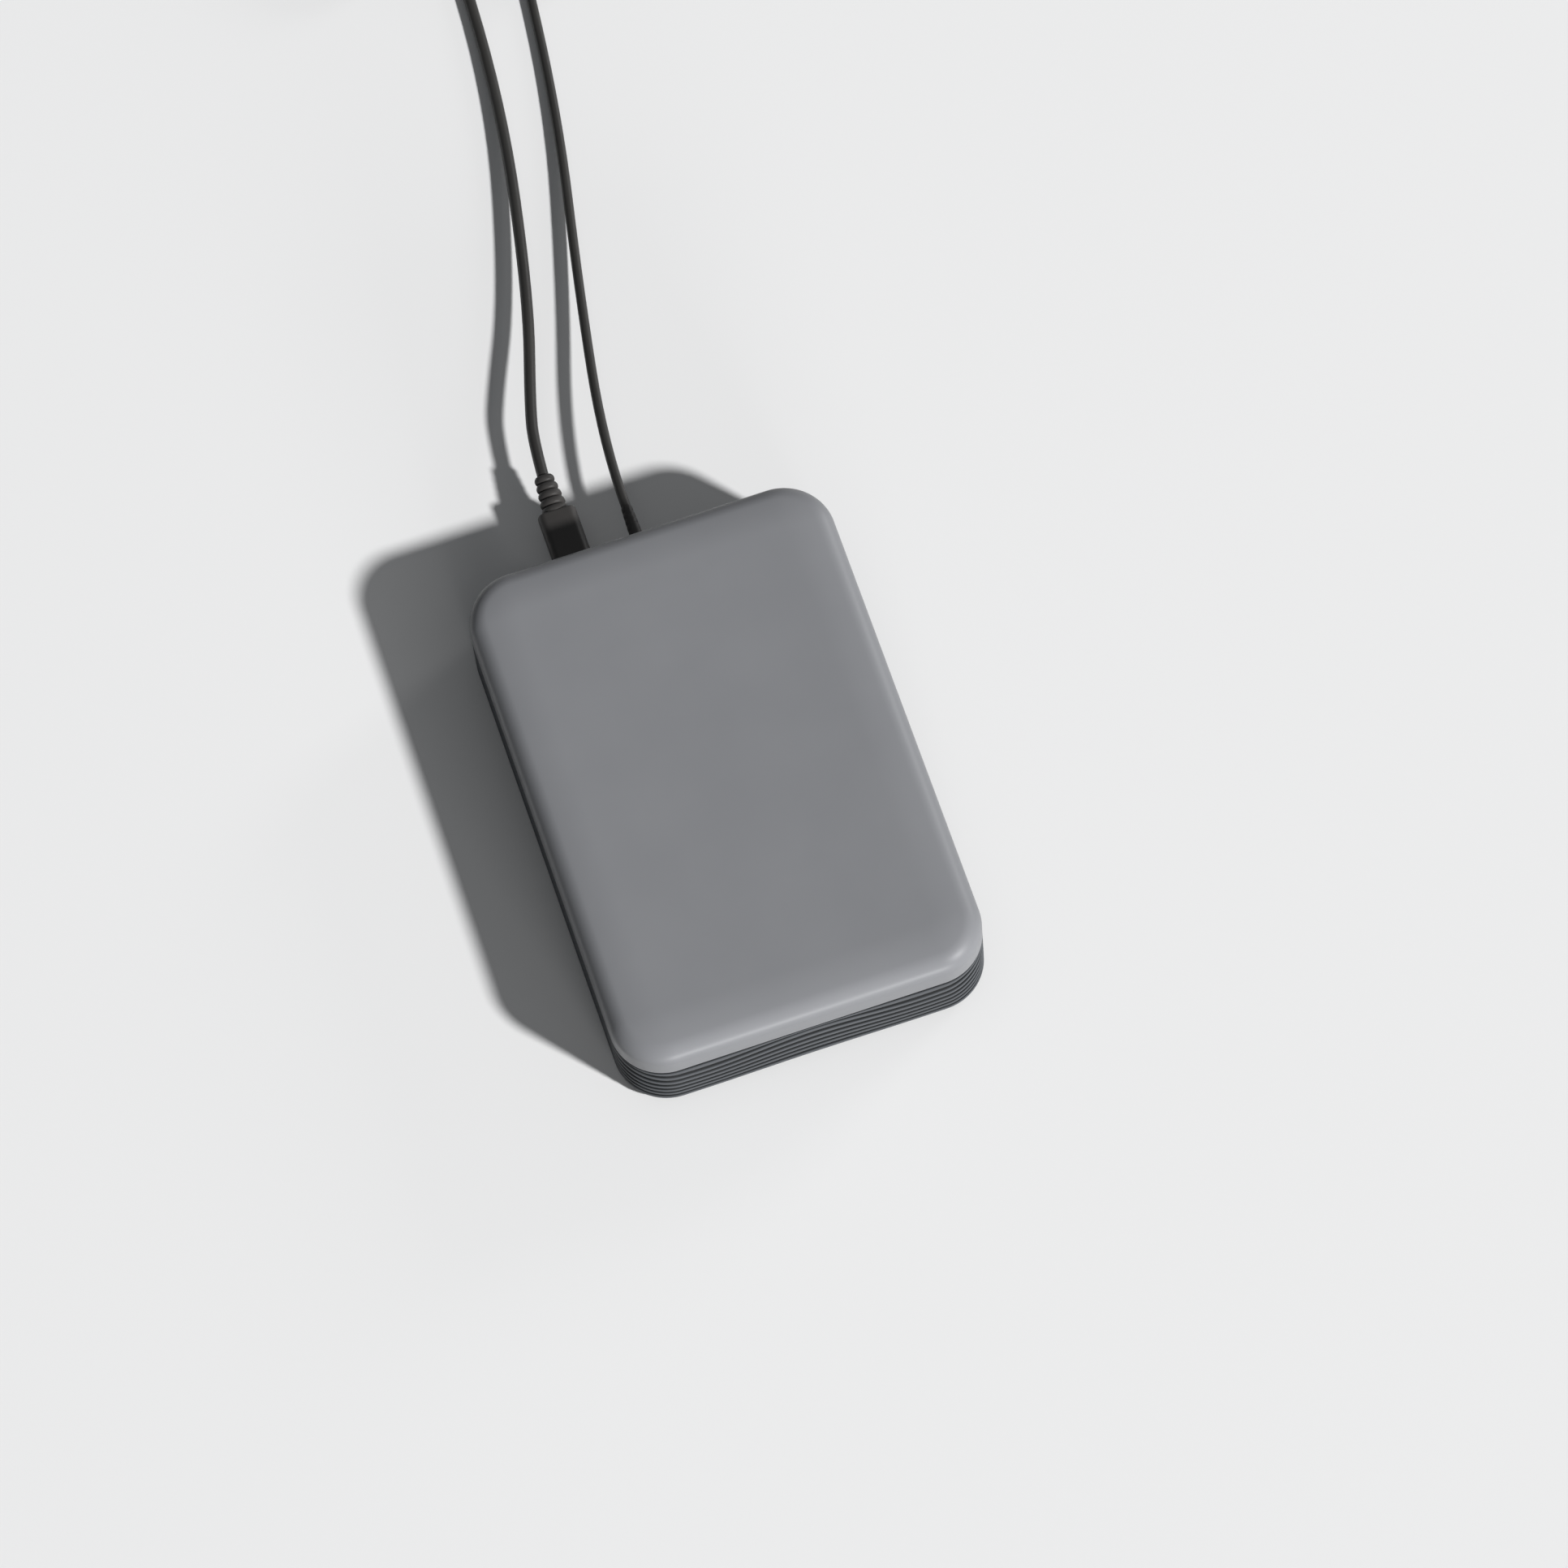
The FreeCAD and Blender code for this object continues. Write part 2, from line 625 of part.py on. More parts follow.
def usb_port():
    """Metal receptacle of the data port, open to the rear."""
    outer = box_bar(USB_X, USB_Z, USB_W, USB_H, PORT_Y - USB_D, PORT_Y)
    return outer.cut(box_bar(USB_X, USB_Z, USB_W - 2 * USB_SKIN, USB_H - 2 * USB_SKIN, PORT_Y - USB_D + USB_SKIN,
                             PORT_Y))


def power_jack():
    """Power jack with its bore and centre pin."""
    body = block(DC_X - DC_W / 2, DC_X + DC_W / 2, PORT_Y - DC_D, PORT_Y, BRIDGE_TOP, BRIDGE_TOP + DC_H)
    body = body.cut(prism(DC_X, DC_Z, PORT_Y - DC_BORE_D, PORT_Y, DC_BORE_R))
    return body.fuse(prism(DC_X, DC_Z, PORT_Y - DC_BORE_D, PORT_Y - PORT_STAND, DC_PIN_R))


def usb_plug():
    """Moulded body of the data plug with its tapered strain relief."""
    body = round_bar(USB_X, USB_Z, PLUG_W, PLUG_H, PLUG_R, PORT_Y, PLUG_END)
    return body.fuse(taper(USB_X, USB_Z, PLUG_END, RELIEF_L, RELIEF_R0, RELIEF_R1))


def usb_plug_shell():
    """Metal shell of the data plug, inside the port."""
    outer = box_bar(USB_X, USB_Z, SHELL_W, SHELL_H, PORT_Y - SHELL_L, PORT_Y)
    return outer.cut(box_bar(USB_X, USB_Z, SHELL_W - 2 * SHELL_SKIN, SHELL_H - 2 * SHELL_SKIN,
                             PORT_Y - SHELL_L, PORT_Y))


def power_plug():
    """Slim moulded body of the power plug with a tapered strain relief."""
    body = prism(DC_X, DC_Z, PORT_Y, POWER_PLUG_END, POWER_PLUG_R)
    return body.fuse(taper(DC_X, DC_Z, POWER_PLUG_END, POWER_RELIEF_L, POWER_RELIEF_R0, POWER_RELIEF_R1))


def power_plug_barrel():
    """Metal barrel of the power plug, inside the jack."""
    barrel = prism(DC_X, DC_Z, PORT_Y - BARREL_L, PORT_Y, BARREL_R)
    return barrel.cut(prism(DC_X, DC_Z, PORT_Y - BARREL_L, PORT_Y, BARREL_BORE_R))


def cord_tube(name, route, diameter):
    """A many-sided cord along straight runs joined by tangent arcs, each as large as its runs allow."""
    points = [Vector(x, REAR + y, z) for x, y, z in route]
    edges = []
    radii = []
    start = points[0]
    for before, here, after in zip(points, points[1:], points[2:]):
        back = before - here
        ahead = after - here
        reach = ARC_SHARE * min(back.Length, ahead.Length)
        back.normalize()
        ahead.normalize()
        half_turn = (math.pi - back.getAngle(ahead)) / 2
        radius = reach / math.tan(half_turn)
        radii.append(radius)
        enter = here + back * reach
        leave = here + ahead * reach
        inward = back + ahead
        inward.normalize()
        middle = here + inward * (radius / math.cos(half_turn) - radius)
        edges.append(Part.LineSegment(start, enter).toShape())
        edges.append(Part.Arc(enter, middle, leave).toShape())
        start = leave
    edges.append(Part.LineSegment(start, points[-1]).toShape())
    path = Part.Wire(edges)
    heading = points[1] - points[0]
    heading.normalize()
    side_way = heading.cross(Vector(0, 0, 1))
    side_way.normalize()
    section = ring_plan(points[0], heading, side_way, diameter / 2)
    tube = path.makePipeShell([section], True, True)
    share = tube.Volume / (path.Length * Part.Face(section).Area)
    print(name, "length", round(path.Length, 1), "volume share", round(share, 4), "smallest radius",
          round(min(radii), 1), "radii", [round(radius) for radius in radii])
    return tube


def coil_ring(centre, radius, side, height):
    """Closed solid of a wound coil, a many-sided ring that lies on the surface."""
    middle = Vector(centre[0], centre[1], 0)
    up = Vector(0, 0, 1)
    along = Vector(1, 0, 0)
    rings = [Part.Face(ring_plan(middle, up, along, reach))
             for reach in (radius + side / 2, radius - side / 2)]
    return rings[0].cut(rings[1]).extrude(up * height)


def coil_tie(centre, radius, side, height, way):
    """Flat tie wrapped round one side of a coil, standing clear of the surface it lies on."""
    x, y = centre
    x += way * radius
    half = side / 2
    band = block(x - half - TIE_T, x + half + TIE_T, y - TIE_W / 2, y + TIE_W / 2, 0, height + TIE_T)
    return band.cut(coil_ring(centre, radius, side, height))


def cord_end(x, z, y0, y1, diameter):
    """The last short stretch of a cord, from its coil to what it ends in."""
    return prism(x, z, y0, y1, diameter / 2)


def usb_cord():
    """The data cord outside its coil: from the drive to the coil, and from the coil to the far plug."""
    start = USB_COIL[1] + USB_LEAVE[1]
    end = cord_end(HOST_X, HOST_Z, start, HOST_Y - HOST_TAIL, USB_CORD_D)
    return Part.makeCompound([cord_tube("usb_cord", USB_ROUTE, USB_CORD_D), end])


def power_cord():
    """The power cord outside its coil: from the drive to the coil, and from the coil to the adapter."""
    start = POWER_COIL[1] + POWER_LEAVE[1]
    end = cord_end(ADAPTER_CORD_X, ADAPTER_TAIL_Z, start, ADAPTER_Y - ADAPTER_TAIL, POWER_CORD_D)
    return Part.makeCompound([cord_tube("power_cord", POWER_ROUTE, POWER_CORD_D), end])


def host_plug():
    """Moulded body of the plug at the far end of the data cord, lying beside its coil."""
    body = box_bar(HOST_X, HOST_Z, HOST_W, HOST_H, HOST_Y, HOST_Y + HOST_L)
    long_edges = [edge for edge in body.Edges if edge.BoundBox.YLength > HOST_L / 2]
    relief = taper(HOST_X, HOST_Z, HOST_Y, -HOST_TAIL, HOST_TAIL_R0, HOST_TAIL_R1)
    return body.makeChamfer(HOST_EDGE, long_edges).fuse(relief)


def host_plug_shell():
    """Metal shell of the plug at the far end of the data cord."""
    near = HOST_Y + HOST_L
    far = near + HOST_SHELL_L
    inner_w = HOST_SHELL_W - 2 * HOST_SHELL_SKIN
    inner_h = HOST_SHELL_H - 2 * HOST_SHELL_SKIN
    shell = box_bar(HOST_X, HOST_Z, HOST_SHELL_W, HOST_SHELL_H, near, far)
    return shell.cut(box_bar(HOST_X, HOST_Z, inner_w, inner_h, near, far))


def mains_adapter():
    """Wall adapter at the far end of the power cord, lying behind its coil."""
    body = round_slab(ADAPTER_W / 2, ADAPTER_Y, ADAPTER_Y + ADAPTER_L, ADAPTER_R, 0, ADAPTER_H)
    body.translate(Vector(ADAPTER_X, 0, 0))
    return body.fuse(taper(ADAPTER_CORD_X, ADAPTER_TAIL_Z, ADAPTER_Y, -ADAPTER_TAIL, ADAPTER_TAIL_R0,
                           ADAPTER_TAIL_R1))


def adapter_blades():
    """Two flat mains blades on the adapter's far end."""
    near = ADAPTER_Y + ADAPTER_L
    blades = [box_bar(ADAPTER_X + side * BLADE_SPREAD / 2, ADAPTER_H / 2, BLADE_T, BLADE_W,
                      near, near + BLADE_L) for side in (-1, 1)]
    return Part.makeCompound(blades)


def pieces():
    """Every piece by its node's name."""
    made = {"base_tub": base_tub(), "top_cover": top_cover()}
    for place, (x, y) in foot_places().items():
        made["rubber_foot_" + place] = rubber_foot(x, y)
    for place, (side, y) in mount_places().items():
        made["rubber_mount_" + place] = rubber_mount(side, y)
    made["disk_unit"] = disk_unit()
    made["disk_board"] = disk_board()
    made["board_chips"] = board_chips()
    made["disk_connector"] = disk_connector()
    made["bridge_board"] = bridge_board()
    made["bridge_socket"] = bridge_socket()
    made["usb_port"] = usb_port()
    made["power_jack"] = power_jack()
    made["usb_plug"] = usb_plug()
    made["usb_plug_shell"] = usb_plug_shell()
    made["power_plug"] = power_plug()
    made["power_plug_barrel"] = power_plug_barrel()
    made["usb_cord"] = usb_cord()
    made["usb_cord_coil"] = coil_ring(USB_COIL, USB_COIL_R, USB_COIL_SIDE, USB_COIL_SIDE)
    made["usb_cord_tie"] = coil_tie(USB_COIL, USB_COIL_R, USB_COIL_SIDE, USB_COIL_SIDE, -1)
    made["host_plug"] = host_plug()
    made["host_plug_shell"] = host_plug_shell()
    made["power_cord"] = power_cord()
    made["power_cord_coil"] = coil_ring(POWER_COIL, POWER_COIL_R, POWER_COIL_SIDE, POWER_COIL_SIDE)
    made["power_cord_tie"] = coil_tie(POWER_COIL, POWER_COIL_R, POWER_COIL_SIDE, POWER_COIL_SIDE, 1)
    made["mains_adapter"] = mains_adapter()
    made["adapter_blades"] = adapter_blades()
    return made


os.makedirs("parts", exist_ok=True)
for name, shape in pieces().items():
    box = shape.BoundBox
    print(name, "valid" if shape.isValid() else "NOT VALID", len(shape.Solids), "solids", round(shape.Volume, 1),
          [round(v, 2) for v in (box.XMin, box.XMax, box.YMin, box.YMax, box.ZMin, box.ZMax)])
    shape.exportStep(os.path.join("parts", name + ".step"))
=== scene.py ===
"""Looks of a desktop external hard drive: a satin case with wave ridges, two cords and their far ends."""
import math

import bmesh
import bpy
from mathutils import Matrix, Vector


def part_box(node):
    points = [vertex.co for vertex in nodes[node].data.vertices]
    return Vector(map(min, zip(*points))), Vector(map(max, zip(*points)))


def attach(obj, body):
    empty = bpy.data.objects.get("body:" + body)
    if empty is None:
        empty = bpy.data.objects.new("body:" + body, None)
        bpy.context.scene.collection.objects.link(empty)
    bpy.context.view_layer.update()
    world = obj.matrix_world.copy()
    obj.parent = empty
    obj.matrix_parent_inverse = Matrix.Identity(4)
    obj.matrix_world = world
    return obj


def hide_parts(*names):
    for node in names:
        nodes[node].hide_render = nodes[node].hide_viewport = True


MM = 0.001

# Camera, from the photograph, in degrees and metres: the drive lies turned on the floor, seen from high up
LENS = 186.34
SENSOR = 36.0
CLIP = (0.05, 20.0)
CAMERA_RISE = 67.1
CAMERA_ROLL = 6.68
CAMERA_REACH = 2.4273
DRIVE_TURN = 12.35
DRIVE_SHIFT = (-0.01749, -0.00688)

# Housing, in millimetres, as in the solids
WIDTH = 114.0
LENGTH = 165.0
HEIGHT = 35.6
CORNER_R = 16.0
COVER_H = 12.6
COVER_T = 2.0
WALL_T = 2.2
BASE_Z = 1.2
FLOOR_Z = 3.0
EDGE_R = 6.5
EDGE_SLOPE = 9.0
CROWN_R = 60.7
REVEAL_H = 0.5
REVEAL_D = 0.6
RIDGE_WAVES = 8
RIDGE_FIRST = 4.9
RIDGE_PITCH = 2.35
RIDGE_PITCH_STEP = 0.35
RIDGE_SWING = 0.65
RIDGE_SWING_STEP = 0.25
RIM_TUCK = 1.4
LIP_T = 1.0
LIP_H = 2.0
LIP_GAP = 0.15
HOOK_L = 8.0
HOOK_DROP = 9.0
HOOK_BARB = 0.5
HOOK_BARB_H = 2.0
HOOK_PLACES = (-38.0, 8.0)
MOUNT_RIB_T = 1.6
MOUNT_RIB_H = 10.0
MOUNT_RIB_L = 3.4
MOUNT_GAP = 0.15
POST_W = 5.0
POST_IN = 2.8
VENT_COUNT = 6
VENT_L = 26.0
VENT_W = 2.0
VENT_PITCH = 6.0
PANEL_X = (-30.7, 12.7)
PANEL_Z = (5.5, 18.6)
PANEL_R = 3.0
PANEL_SINK = 0.3

# Plugs, in millimetres: a size is width, height and corner radius, a pair of radii runs from start to end
USB_X = -19.2
USB_Z = 11.2
DC_X = 1.2
DC_Z = 13.0
PORT_Y = 79.8
PLUG_END = 105.8
RELIEF_END = 118.7
POWER_PLUG_END = 87.5
POWER_RELIEF_END = 99.5
USB_HOLE = (12.6, 7.1, 2.9)
DC_HOLE_R = 3.9
PLUG_SIZE = (12.0, 6.5, 2.6)
RELIEF_R = (3.2, 2.2)
PLUG_SOFT = 0.9
POWER_PLUG_R = 3.4
POWER_PLUG_SOFT = 0.8
POWER_RELIEF_R = (2.2, 1.7)
HOST_MIDDLE = (11.6, 4.0)
HOST_SIZE = (15.6, 8.0, 1.9)
HOST_Y = (352.5, 362.5, 388.5)
HOST_SOFT = 1.1
HOST_RELIEF_R = (2.2, 2.8)
GRIP_COUNT = 5
GRIP_PITCH = 2.4
GRIP_HALF = (0.7, 0.4)
GRIP_DEPTH = 0.35
ADAPTER_X = (24.0, 66.0)
ADAPTER_Y = (339.0, 385.0)
ADAPTER_H = 28.0
ADAPTER_R = 4.0
ADAPTER_SOFT = 2.0
SEAM_HALF = (0.35, 0.3)
SEAM_DEPTH = 0.4
ADAPTER_CORD = (31.0, 8.5)
ADAPTER_RELIEF = (329.0, 1.8, 2.4)

# Cords, in millimetres and their lengths in metres: routes, then the turns of each coil as radius and height
USB_D = 3.6
USB_ROUTE = (
    (USB_X, RELIEF_END, USB_Z), (-18.4, 130.0, 10.9), (-16.2, 141.0, 10.3), (-4.5, 180.0, 6.2),
    (8.5, 250.0, 2.0), (11.6, 324.4, 1.9),
)
USB_COIL = (-12.0, 330.5)
USB_TURNS = (
    (23.6, 1.8), (20.0, 1.8), (16.4, 1.8), (16.4, 5.4), (20.0, 5.4), (23.6, 5.4), (20.0, 9.0), (23.6, 9.0),
)
USB_TAIL = ((11.6, 335.5, 8.8), (11.6, 344.0, 5.6), (11.6, 351.0, 4.1), (11.6, 355.0, 4.0))
POWER_D = 3.0
POWER_ROUTE = (
    (DC_X, POWER_RELIEF_END, DC_Z), (1.2, 122.0, 11.0), (11.0, 178.0, 4.6), (23.8, 240.0, 1.7),
    (31.0, 305.0, 1.6),
)
POWER_COIL = (52.0, 309.0)
POWER_TURNS = (
    (21.0, 1.5), (18.0, 1.5), (15.0, 1.5), (12.0, 1.5), (12.0, 4.5), (15.0, 4.5), (18.0, 4.5), (21.0, 4.5),
    (21.0, 7.5), (18.0, 7.5), (18.0, 10.5), (21.0, 10.5),
)
POWER_TAIL = ((31.0, 314.0, 10.4), (31.0, 321.0, 9.2), (31.0, 327.0, 8.6), (31.0, 331.0, 8.5))
TURN_POINTS = 16
STEP_SHARE = 0.3
CORD_ORDER = 3
CORD_STEPS = 8
CORD_ROUND = 6

# Cover: depth of its hollow at the wall, the hollow's top as inset and depth, and its upper edge, which is
# a little tighter than in the solids
PART_Z = HEIGHT - COVER_H
HOLLOW_WALL = 7.0
HOLLOW_TOP = (9.0, 2.0)
TIGHT_R = 4.5
TIGHT_SLOPE = 45.0
ARC_STEPS = (10, 12, 12)
BAND_STEPS = 4
LIP_SOFT = 0.35
LIP_STEPS = 5

# Ridges, finer than in the solids: shallower, with a higher crest and painted shade that darkens the grooves
RIDGE_DEPTH = 0.7
CREST_SHARE = 0.6
RIDGE_STEPS = 16
PAINTED_SHADE = "painted_groove_shade"
PAINTED_SHADE_GAIN = 3.5
PAINTED_SHADE_START = 0.35
RIM_H = 0.2

# Strain reliefs: count and depth of the ribs of each plug
RIB_STEPS = 8
RIB_SHARP = 0.5
RELIEF_RIBS = 5
RELIEF_DEPTH = 0.8
RELIEF_SHARP = 0.4
RELIEF_WIDE = 1.35
RELIEF_LAP = 0.6
POWER_RIBS = (6, 0.12)
HOST_RIBS = (4, 0.5)
ADAPTER_RIBS = (4, 0.4)
RIBS_LAP = 0.5

# Feet and ties
FOOT_R = 3.5
FOOT_SOFT = 0.6
FOOT_STEPS = 6
TIE_T = 0.8
TIE_R = 2.6
TIE_SOFT = 0.15

# Building of the meshes: steps, laps of joined forms, reach of cutters, and the angle of a sharp edge
OUTLINE_STEP = 1.5
CORNER_STEPS = 24
ROUND_STEPS = 8
EDGE_STEPS = 5
SIDES = 40
LEAST_R = 0.2
LIP_LAP = 0.4
RIB_SINK = 0.9
PANEL_ROOT = 0.9
PANEL_GAP = 0.25
SLOT_ROUND = 0.49
CUT_PAST = 1.0
SEAT_PAST = 0.1
WELD = 0.0005
SHARP = 40.0

# Nodes of the solids that are looked up, and those that are shown as they are, with their finish
MOUNTS = (
    "rubber_mount_front_left", "rubber_mount_front_right",
    "rubber_mount_rear_left", "rubber_mount_rear_right",
)
FEET = (
    "rubber_foot_front_left", "rubber_foot_front_right",
    "rubber_foot_rear_left", "rubber_foot_rear_right",
)
KEPT_NODES = {
    **dict.fromkeys(MOUNTS, "mount_rubber"),
    "disk_unit": "disk_metal", "disk_board": "board_laminate", "board_chips": "chip_plastic",
    "disk_connector": "connector_plastic", "bridge_board": "board_laminate",
    "bridge_socket": "connector_plastic", "usb_port": "port_metal",
    "power_jack": "connector_plastic", "usb_plug_shell": "port_metal",
    "power_plug_barrel": "port_metal", "host_plug_shell": "port_metal", "adapter_blades": "blade_metal",
}

# Finishes: dark and light tint, range of roughness, scale and strength of the grain
FINISHES = {
    "cover_plastic": ((0.212, 0.216, 0.228), (0.222, 0.226, 0.238), (0.38, 0.42), 5200.0, 0.12),
    "tub_plastic": ((0.092, 0.098, 0.106), (0.102, 0.108, 0.116), (0.42, 0.48), 4200.0, 0.2),
    "foot_rubber": ((0.014, 0.014, 0.014), (0.022, 0.022, 0.022), (0.75, 0.9), 2600.0, 0.6),
    "mount_rubber": ((0.02, 0.02, 0.02), (0.03, 0.03, 0.03), (0.7, 0.85), 2600.0, 0.6),
    "chip_plastic": ((0.018, 0.018, 0.02), (0.026, 0.026, 0.028), (0.5, 0.62), 3600.0, 0.5),
    "connector_plastic": ((0.02, 0.02, 0.021), (0.03, 0.03, 0.031), (0.4, 0.5), 3000.0, 0.3),
    "plug_plastic": ((0.036, 0.034, 0.033), (0.046, 0.043, 0.041), (0.42, 0.52), 3400.0, 0.45),
    "cord_jacket": ((0.026, 0.025, 0.024), (0.034, 0.033, 0.031), (0.4, 0.52), 2800.0, 0.35),
    "tie_plastic": ((0.014, 0.014, 0.015), (0.02, 0.02, 0.021), (0.5, 0.6), 2400.0, 0.4),
    "adapter_plastic": ((0.017, 0.017, 0.018), (0.025, 0.025, 0.026), (0.45, 0.55), 3000.0, 0.5),
    "disk_metal": ((0.5, 0.5, 0.51), (0.58, 0.58, 0.59), (0.38, 0.5), 1800.0, 0.5),
    "port_metal": ((0.56, 0.55, 0.53), (0.64, 0.63, 0.61), (0.24, 0.36), 2400.0, 0.15),
    "blade_metal": ((0.62, 0.58, 0.5), (0.7, 0.66, 0.57), (0.22, 0.34), 2200.0, 0.15),
}
METALS = ("disk_metal", "port_metal", "blade_metal")
PLAIN_SPECULAR = 0.5
TUB_SPECULAR = 0.12
# Dark colour painted into the tub's grooves as shade
TUB_PAINTED_SHADE = (0.008, 0.009, 0.01)
GRAIN_DETAIL = 2.0
GRAIN_HEIGHT = 0.00006
MOTTLE_SCALE = 38.0
MOTTLE_DETAIL = 3.0
MOTTLE_SPAN = (0.3, 0.7)
BOARD_GROUND = (0.012, 0.085, 0.05)
BOARD_TRACKS = (0.04, 0.16, 0.08)
BOARD_ROUGH = 0.35
BOARD_SHADE = 0.8
TRACK_SCALE = 160.0
TRACK_WIDTH = 0.06
TRACK_BUMP = 0.3
TRACK_HEIGHT = 0.00005

# Lamps: name, kind, place in metres, angle of a sun or width of a panel, power, seen in reflections or not
KEY_PLACE = (1.9, -2.25, 2.15)
KEY_ANGLE = 0.08
LAMPS = (
    ("key", "SUN", KEY_PLACE, KEY_ANGLE, 3.05, False),
    ("glint", "SUN", KEY_PLACE, KEY_ANGLE, 1.35, True),
    ("front", "AREA", (0.1, -2.6, 0.3), 0.9, 31.0, True),
    ("right", "AREA", (2.1, 0.92, 0.8), 0.6, 6.5, True),
    ("fill", "AREA", (-0.2, 0.2, 1.8), 1.0, 1.0, True),
)
ROOM_COLOUR = (0.92, 0.96, 1.0, 1.0)
ROOM_LIGHT = 0.1
FLOOR_REACH = 4.0
FLOOR_ROUGH = 0.9
FLOOR_PALE = (0.8, 0.8, 0.8)
FLOOR_DIM = (0.1, 0.1, 0.1)


def curve_piece(name, points, diameter, material):
    """One open smooth spline with a round section."""
    curve = bpy.data.curves.new(name, "CURVE")
    curve.dimensions = "3D"
    spline = curve.splines.new("NURBS")
    spline.points.add(len(points) - 1)
    for target, point in zip(spline.points, points):
        target.co = (*[value * MM for value in point], 1.0)
    spline.order_u = CORD_ORDER
    spline.use_endpoint_u = True
    spline.resolution_u = CORD_STEPS
    curve.bevel_depth = diameter / 2 * MM
    curve.bevel_resolution = CORD_ROUND
    curve.use_fill_caps = True
    piece = bpy.data.objects.new(name, curve)
    bpy.context.scene.collection.objects.link(piece)
    curve.materials.append(material)
    return piece


def coil_points(centre, turns, start, way):
    """Points of the turns: each turn keeps its radius, then eases to the next over its last part."""
    points = []
    for index, (radius, height) in enumerate(turns):
        last = index == len(turns) - 1
        next_radius, next_height = turns[index] if last else turns[index + 1]
        for step in range(TURN_POINTS):
            share = step / TURN_POINTS
            ease = min(1.0, max(0.0, (share - 1 + STEP_SHARE) / STEP_SHARE))
            reach = radius + (next_radius - radius) * ease
            level = height + (next_height - height) * ease
            angle = start + way * 2 * math.pi * share
            points.append((centre[0] + reach * math.cos(angle), centre[1] + reach * math.sin(angle), level))
    return points


def add_camera():
    """Camera at the photograph's angle."""
    rise = math.radians(CAMERA_RISE)
    roll = math.radians(CAMERA_ROLL)
    ahead = Vector((0, math.cos(rise), -math.sin(rise)))
    right = Vector((1, 0, 0))
    down = Vector((0, -math.sin(rise), -math.cos(rise)))
    across = right * math.cos(roll) + down * math.sin(roll)
    below = down * math.cos(roll) - right * math.sin(roll)
    place = -ahead * CAMERA_REACH - Vector((*DRIVE_SHIFT, 0))
    seen = Matrix((across, -below, -ahead)).transposed().to_4x4()
    turn = Matrix.Rotation(-math.radians(DRIVE_TURN), 4, "Z")
    data = bpy.data.cameras.new("camera")
    data.lens = LENS
    data.sensor_width = SENSOR
    data.clip_start, data.clip_end = CLIP
    camera = bpy.data.objects.new("camera", data)
    bpy.context.scene.collection.objects.link(camera)
    camera.matrix_world = turn @ Matrix.Translation(place) @ seen
    bpy.context.scene.camera = camera


def new_material(name, colour, rough, metal=0.0):
    """A plain material and its shader, to which a finish adds its nodes."""
    material = bpy.data.materials.new(name)
    material.use_nodes = True
    shader = material.node_tree.nodes["Principled BSDF"]
    shader.inputs["Base Color"].default_value = (*colour, 1)
    shader.inputs["Roughness"].default_value = rough
    shader.inputs["Metallic"].default_value = metal
    return material, shader


def moulded(name, dark, light, rough, grain, bump, metal=0.0, specular=PLAIN_SPECULAR, groove=None):
    """Moulded or cast finish: fine grain, gloss and tint that vary a little, and painted shade in the grooves
    if asked.
    """
    material, shader = new_material(name, dark, rough[0], metal)
    shader.inputs["Specular IOR Level"].default_value = specular
    tree = material.node_tree
    place = tree.nodes.new("ShaderNodeTexCoord")
    fine = tree.nodes.new("ShaderNodeTexNoise")
    fine.inputs["Scale"].default_value = grain
    fine.inputs["Detail"].default_value = GRAIN_DETAIL
    broad = tree.nodes.new("ShaderNodeTexNoise")
    broad.inputs["Scale"].default_value = MOTTLE_SCALE
    broad.inputs["Detail"].default_value = MOTTLE_DETAIL
    for node in (fine, broad):
        tree.links.new(place.outputs["Object"], node.inputs["Vector"])
    tint = tree.nodes.new("ShaderNodeValToRGB")
    for element, position, colour in zip(tint.color_ramp.elements, MOTTLE_SPAN, (dark, light)):
        element.position = position
        element.color = (*colour, 1)
    tree.links.new(broad.outputs["Fac"], tint.inputs["Fac"])
    if groove is None:
        tree.links.new(tint.outputs["Color"], shader.inputs["Base Color"])
    else:
        # Painted shade: a value on the vertices mixes the tint towards a dark colour in the grooves
        depth = tree.nodes.new("ShaderNodeAttribute")
        depth.attribute_name = PAINTED_SHADE
        blend = tree.nodes.new("ShaderNodeMixRGB")
        blend.inputs["Color2"].default_value = (*groove, 1)
        tree.links.new(depth.outputs["Fac"], blend.inputs["Fac"])
        tree.links.new(tint.outputs["Color"], blend.inputs["Color1"])
        tree.links.new(blend.outputs["Color"], shader.inputs["Base Color"])
    gloss = tree.nodes.new("ShaderNodeMapRange")
    gloss.inputs["From Min"].default_value = MOTTLE_SPAN[0]
    gloss.inputs["From Max"].default_value = MOTTLE_SPAN[1]
    gloss.inputs["To Min"].default_value = rough[0]
    gloss.inputs["To Max"].default_value = rough[1]
    tree.links.new(broad.outputs["Fac"], gloss.inputs["Value"])
    tree.links.new(gloss.outputs["Result"], shader.inputs["Roughness"])
    relief = tree.nodes.new("ShaderNodeBump")
    relief.inputs["Strength"].default_value = bump
    relief.inputs["Distance"].default_value = GRAIN_HEIGHT
    tree.links.new(fine.outputs["Fac"], relief.inputs["Height"])
    tree.links.new(relief.outputs["Normal"], shader.inputs["Normal"])
    return material


